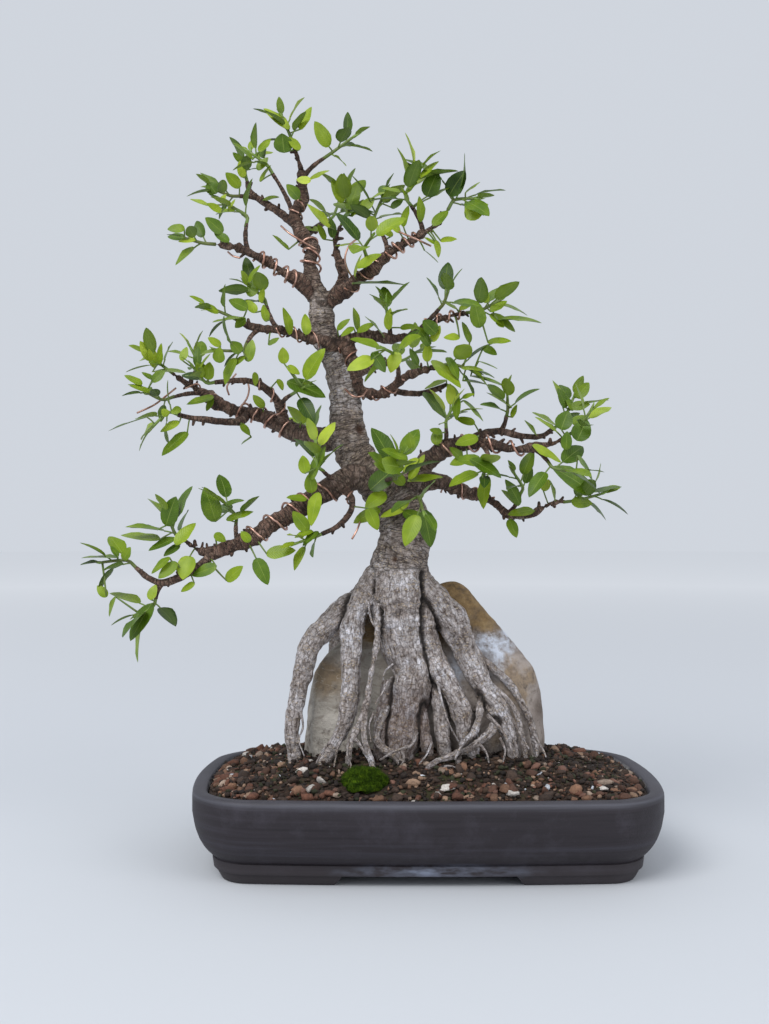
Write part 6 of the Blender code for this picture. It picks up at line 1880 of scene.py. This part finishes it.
def rock_finish():
    """Stone: ochre-brown over its right top, grey-brown and rusty below, grey-beige on the left,
    and a bluish-white quartz patch under the top."""
    look, place = new_finish("weathered_ochre_stone")
    x, _, z = axes(place)
    broad = cloud(place, 20.0, 7.0, 0.60)
    fine = cloud(place, 130.0, 7.0, 0.68)
    left = ramp(broad, (0.34, 250, 220, 185), (0.52, 430, 390, 335), (0.68, 600, 560, 500))
    right = ramp(broad, (0.36, 170, 130, 105), (0.50, 350, 295, 260), (0.64, 540, 465, 410))
    ochre = ramp(fine, (0.32, 110, 66, 24), (0.52, 225, 140, 55), (0.74, 340, 240, 115))
    side = x - float(SHIFT[0])
    body = mix(spread(side, -0.030, 0.010), left, right)
    wander = (broad - 0.5) * 0.09
    patch = near(side + wander, -0.083, 0.018) * near(z, 0.140, 0.024)
    rust = spread(broad, 0.53, 0.60, 0.0, 0.7) * spread(side, 0.03, 0.06)
    high = maths("MAXIMUM", spread(z + wander, 0.160, 0.174), spread(patch, 0.1, 0.5, 0.0, 0.7))
    body = mix(maths("MAXIMUM", high, rust), body, ochre)
    quartz = near(side + wander, 0.046, 0.030) * near(z + wander, 0.153, 0.018)
    quartz = spread(quartz, 0.08, 0.45) * spread(fine, 0.38, 0.54, 0.20, 1.0)
    body = mix(quartz, body, (620, 660, 750))
    veins = near(cloud(scaled(place, (40, 40, 150)), 1.0, 3.0, 0.5), 0.52, 0.010)
    body = mix(veins * spread(side, -0.02, -0.05, 0.0, 0.5), body, (620, 580, 520))
    stripes = cloud(scaled(place, (70, 70, 110)), 1.0, 5.0, 0.6, 1.0)
    body = mix(spread(stripes, 0.38, 0.52, 0.40, 0.0), body, (130, 95, 70))
    body = mix(spread(fine, 0.30, 0.44, 0.70, 0.0), body, (60, 42, 30))
    return finished(look, body, 0.72, fine + broad * 1.5, 0.0030)


def bark_finish():
    """Bark from pale roots over the grey-brown trunk to brown twigs, with painted shade in its hollows and
    creases, painted shade and highlights over its relief, cracks round plates, rows of tan pores and brown
    wounds."""
    look, place = new_finish("grey_brown_bark")
    grain = attribute(place, "grain", "Vector")
    tone = attribute(place, "tone")
    wrinkle = cloud(scaled(grain, (150, 150, 520)), 1.0, 7.0, 0.72, 0.5)
    ridges = cloud(scaled(grain, (560, 560, 130)), 1.0, 7.0, 0.72, 0.5)
    coarse = cloud(place, 260.0, 6.0, 0.68, 0.3)
    mottle = cloud(place, 55.0, 8.0, 0.72)
    root = ramp(mottle, (0.34, 260, 215, 190), (0.50, 500, 455, 440), (0.66, 760, 750, 790))
    trunk = ramp(mottle, (0.34, 130, 90, 64), (0.50, 250, 195, 155), (0.66, 470, 410, 370))
    limb = ramp(mottle, (0.32, 50, 26, 17), (0.50, 140, 78, 53), (0.68, 310, 205, 155))
    body = mix(spread(tone, 0.45, 0.85), mix(spread(tone, 0.05, 0.40), root, trunk), limb)
    relief = ridges * spread(tone, 0.05, 0.35, 0.50, 0.20) + wrinkle * spread(tone, 0.05, 0.35, 0.20, 0.50)
    relief = relief + coarse * 0.30
    # Painted shade and highlight: darker in the low places of the relief, lighter and bluish on its high
    # places.
    shade = ramp(relief, (0.41, 260, 200, 160), (0.50, 950, 920, 900), (0.58, 1420, 1420, 1460))
    body = mix(1.0, body, shade, "MULTIPLY")
    # Painted shade: darker where the skin lies low, in the hollows and next to the creases of the thick wood.
    # On the thin wood the raised value is random.
    body = mix(spread(attribute(place, "raised"), 0.05, 0.42, 0.75, 0.0), body, (60, 40, 30))
    rows = spread(cloud(scaled(grain, (16, 16, 200)), 1.0, 2.0), 0.45, 0.55)
    dots = spread(cells(scaled(grain, (330, 330, 620)), "F1"), 0.22, 0.42, 1.0, 0.0) * rows
    dots = dots * spread(tone, 0.40, 0.80, 0.85, 0.30)
    body = mix(dots, body, (580, 455, 325))
    small_plates = cells(wavy(scaled(grain, (300, 300, 210)), 1.2, 0.9), "DISTANCE_TO_EDGE")
    long_plates = cells(wavy(scaled(grain, (75, 75, 330)), 1.2, 0.9), "DISTANCE_TO_EDGE")
    root_cracks = spread(small_plates, 0.0, 0.09, 0.42, 0.0)
    cracks = mix(spread(tone, 0.04, 0.20), root_cracks, spread(long_plates, 0.0, 0.08, 0.70, 0.0))
    body = mix(cracks, body, (55, 37, 28))
    body = mix(attribute(place, "wound"), body, mix(mottle, (16, 8, 5), (190, 85, 45)))
    # Painted shade: near black in the creases where two roots meet.
    body = mix(spread(attribute(place, "crease"), 0.35, 0.95, 0.0, 0.92), body, (20, 14, 11))
    return finished(look, body, 0.82, relief * 1.9 + dots * 0.30 - cracks * 0.8, 0.0030)


def moss_finish():
    """Green moss, blotched darker and lighter by a fine noise."""
    look, place = new_finish("bright_moss")
    blotch = cloud(place, 300.0, 4.0, 0.7)
    body = ramp(blotch, (0.32, 8, 20, 2), (0.50, 34, 68, 4), (0.70, 100, 165, 8))
    return finished(look, body, 0.95, Specular_IOR_Level=0.10)


def wire_finish():
    """Copper-coloured wire, dulled here and there."""
    look, place = new_finish("copper_coloured_wire")
    dull = cloud(place, 110.0, 4.0, 0.6)
    body = ramp(dull, (0.35, 300, 150, 105), (0.60, 640, 395, 310))
    return finished(look, body, spread(dull, 0.3, 0.7, 0.50, 0.28), Metallic=1.0)


def plastic_finish():
    """Black plastic mesh over the drain holes."""
    look, place = new_finish("black_plastic_mesh")
    fine = cloud(place, 500.0, 3.0)
    body = ramp(fine, (0.3, 12, 12, 13), (0.7, 24, 24, 25))
    return finished(look, body, 0.55, fine, 0.0001)


def leaf_finish():
    """Glossy leaves, dark green to yellow-green by age and, on the leaves of SEEN_LEAVES, by their listed
    brightness, which is painted light and shade; with a pale midrib, faint side veins and a paler underside."""
    look, place = new_finish("glossy_ficus_leaf")
    under = attribute(place, "under")
    along, across, _ = axes(add(place.tree, "ShaderNodeUVMap", output="UV", uv_map="surface"))
    side = maths("ABSOLUTE", across)
    blotch = cloud(place, 110.0, 3.0, 0.5)
    # The hue is the leaf's age and, on the listed leaves, also painted light and shade.
    age_and_painted_light = attribute(place, "hue") + (blotch - 0.5) * 0.45
    body = ramp(age_and_painted_light, (0.00, 22, 56, 3), (0.30, 80, 152, 6), (0.60, 220, 315, 10),
                (1.00, 520, 620, 60))
    waves = maths("SINE", (along - side * 0.20) * 75.0)
    veins = spread(waves, 0.80, 1.0) * spread(side, 0.02, 0.2)
    body = mix(veins * 0.12, body, (340, 420, 80))
    rib = spread(side, 0.012, 0.050, 0.40, 0.0)
    body = mix(rib, body, (390, 470, 100))
    body = mix(under * 0.30, body, (260, 350, 110))
    relief = blotch * 0.3 - (rib + veins * 0.4)
    return finished(look, body, spread(under, 0.0, 1.0, 0.38, 0.58), relief, 0.0003, Specular_IOR_Level=0.28)


def stem_finish():
    """Young stems and leaf stalks, green to reddish-brown."""
    look, place = new_finish("young_green_stem")
    hue = attribute(place, "hue")
    body = ramp(hue, (0.2, 110, 85, 30), (0.55, 120, 190, 30), (1.0, 230, 360, 60))
    blotch = cloud(place, 300.0, 3.0)
    return finished(look, mix(spread(blotch, 0.45, 0.70, 0.0, 0.4), body, (150, 90, 40)), 0.45)


def floor_finish():
    """A floor that turns from pale grey round the pot to as pale as the sky."""
    look, place = new_finish("pale_floor")
    away = vectors("LENGTH", place, (0, 0, 0), 1, "Value")
    body = mix(spread(away, 0.5, 4.5), FLOOR_NEAR, FLOOR_FAR)
    return finished(look, body, 0.85, Specular_IOR_Level=0.0)


# Foliage of the whole tree, stage and camera


def make_foliage(leaf, stem):
    """The solids' leaves made fine, region by region, and the picture's leaves between them."""
    wood, pairs = wood_tubes()
    shoots = [shoot for _, shoot in pairs]
    plan = place_leaves(SHOOTS, pairs, shoots, wood)
    for number, region in enumerate(SHOOT_TABLE):
        picked = [k for k, entry in enumerate(SHOOTS) if entry[0] == region]
        part = foliage_part([shoots[k] for k in picked], [plan[k] for k in picked], 50 + number)
        nodes = [f"shoot_{region}_{k + 1:02d}" for k in range(len(picked))]
        finish_piece(make_mesh(f"foliage_{region}", part, [leaf, stem]), "leaf", *nodes)
    twigs = [twig for twig, _ in pairs if twig is not None]
    finish_piece(make_mesh("foliage_between", seen_leaves(shoots + twigs, wood), [leaf, stem]), "leaf")


def make_stage():
    """A pale floor, soft light from the sky and from two large lamps."""
    bpy.ops.mesh.primitive_circle_add(vertices=96, radius=14.0, fill_type="NGON")
    floor = bpy.context.object
    floor.name = "floor"
    floor.data.materials.append(floor_finish())
    world = bpy.data.worlds.new("soft_sky")
    bpy.context.scene.world = world
    world.use_nodes = True
    world.node_tree.nodes["Background"].inputs["Color"].default_value = (0.84, 0.89, 0.97, 1.0)
    world.node_tree.nodes["Background"].inputs["Strength"].default_value = SKY_STRENGTH
    bpy.context.scene.view_settings.view_transform = "Standard"
    for name, place, energy, size in LAMPS:
        data = bpy.data.lights.new(name, "AREA")
        data.energy = energy
        data.size = size
        lamp = bpy.data.objects.new(name, data)
        lamp.location = place
        aim = np.array((0, 0, 0.28)) - np.array(place)
        tilt = math.atan2(math.hypot(aim[0], aim[1]), -aim[2])
        lamp.rotation_euler = (tilt, 0, math.atan2(aim[1], aim[0]) - math.pi / 2)
        bpy.context.scene.collection.objects.link(lamp)


def make_camera():
    """The camera, level, with the horizon where the photograph has it."""
    data = bpy.data.cameras.new("camera")
    data.sensor_width = 36.0
    data.lens = 36.0 * FOCAL_PIXELS / PICTURE_SIZE[1]
    data.shift_y = (HORIZON_ROW - PICTURE_SIZE[1] / 2) / PICTURE_SIZE[1]
    data.clip_start = 0.01
    camera = bpy.data.objects.new("camera", data)
    camera.location = np.array(CAMERA_PLACE) + SHIFT
    camera.rotation_euler = (math.radians(90), 0, 0)
    bpy.context.scene.collection.objects.link(camera)
    bpy.context.scene.camera = camera


def main():
    """Builds the bonsai, its stage and its camera."""
    make_camera()
    make_stage()
    make_pot(clay_finish())
    plastic = plastic_finish()
    for name in ("drain_mesh_left", "drain_mesh_right"):
        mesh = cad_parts[name].data
        mesh.materials.clear()
        mesh.materials.append(plastic)
    make_soil(humus_finish())
    make_gravel(gravel_finish())
    make_moss(moss_finish())
    make_stone(rock_finish())
    make_wood(bark_finish())
    make_wires(wire_finish())
    make_foliage(leaf_finish(), stem_finish())


main()
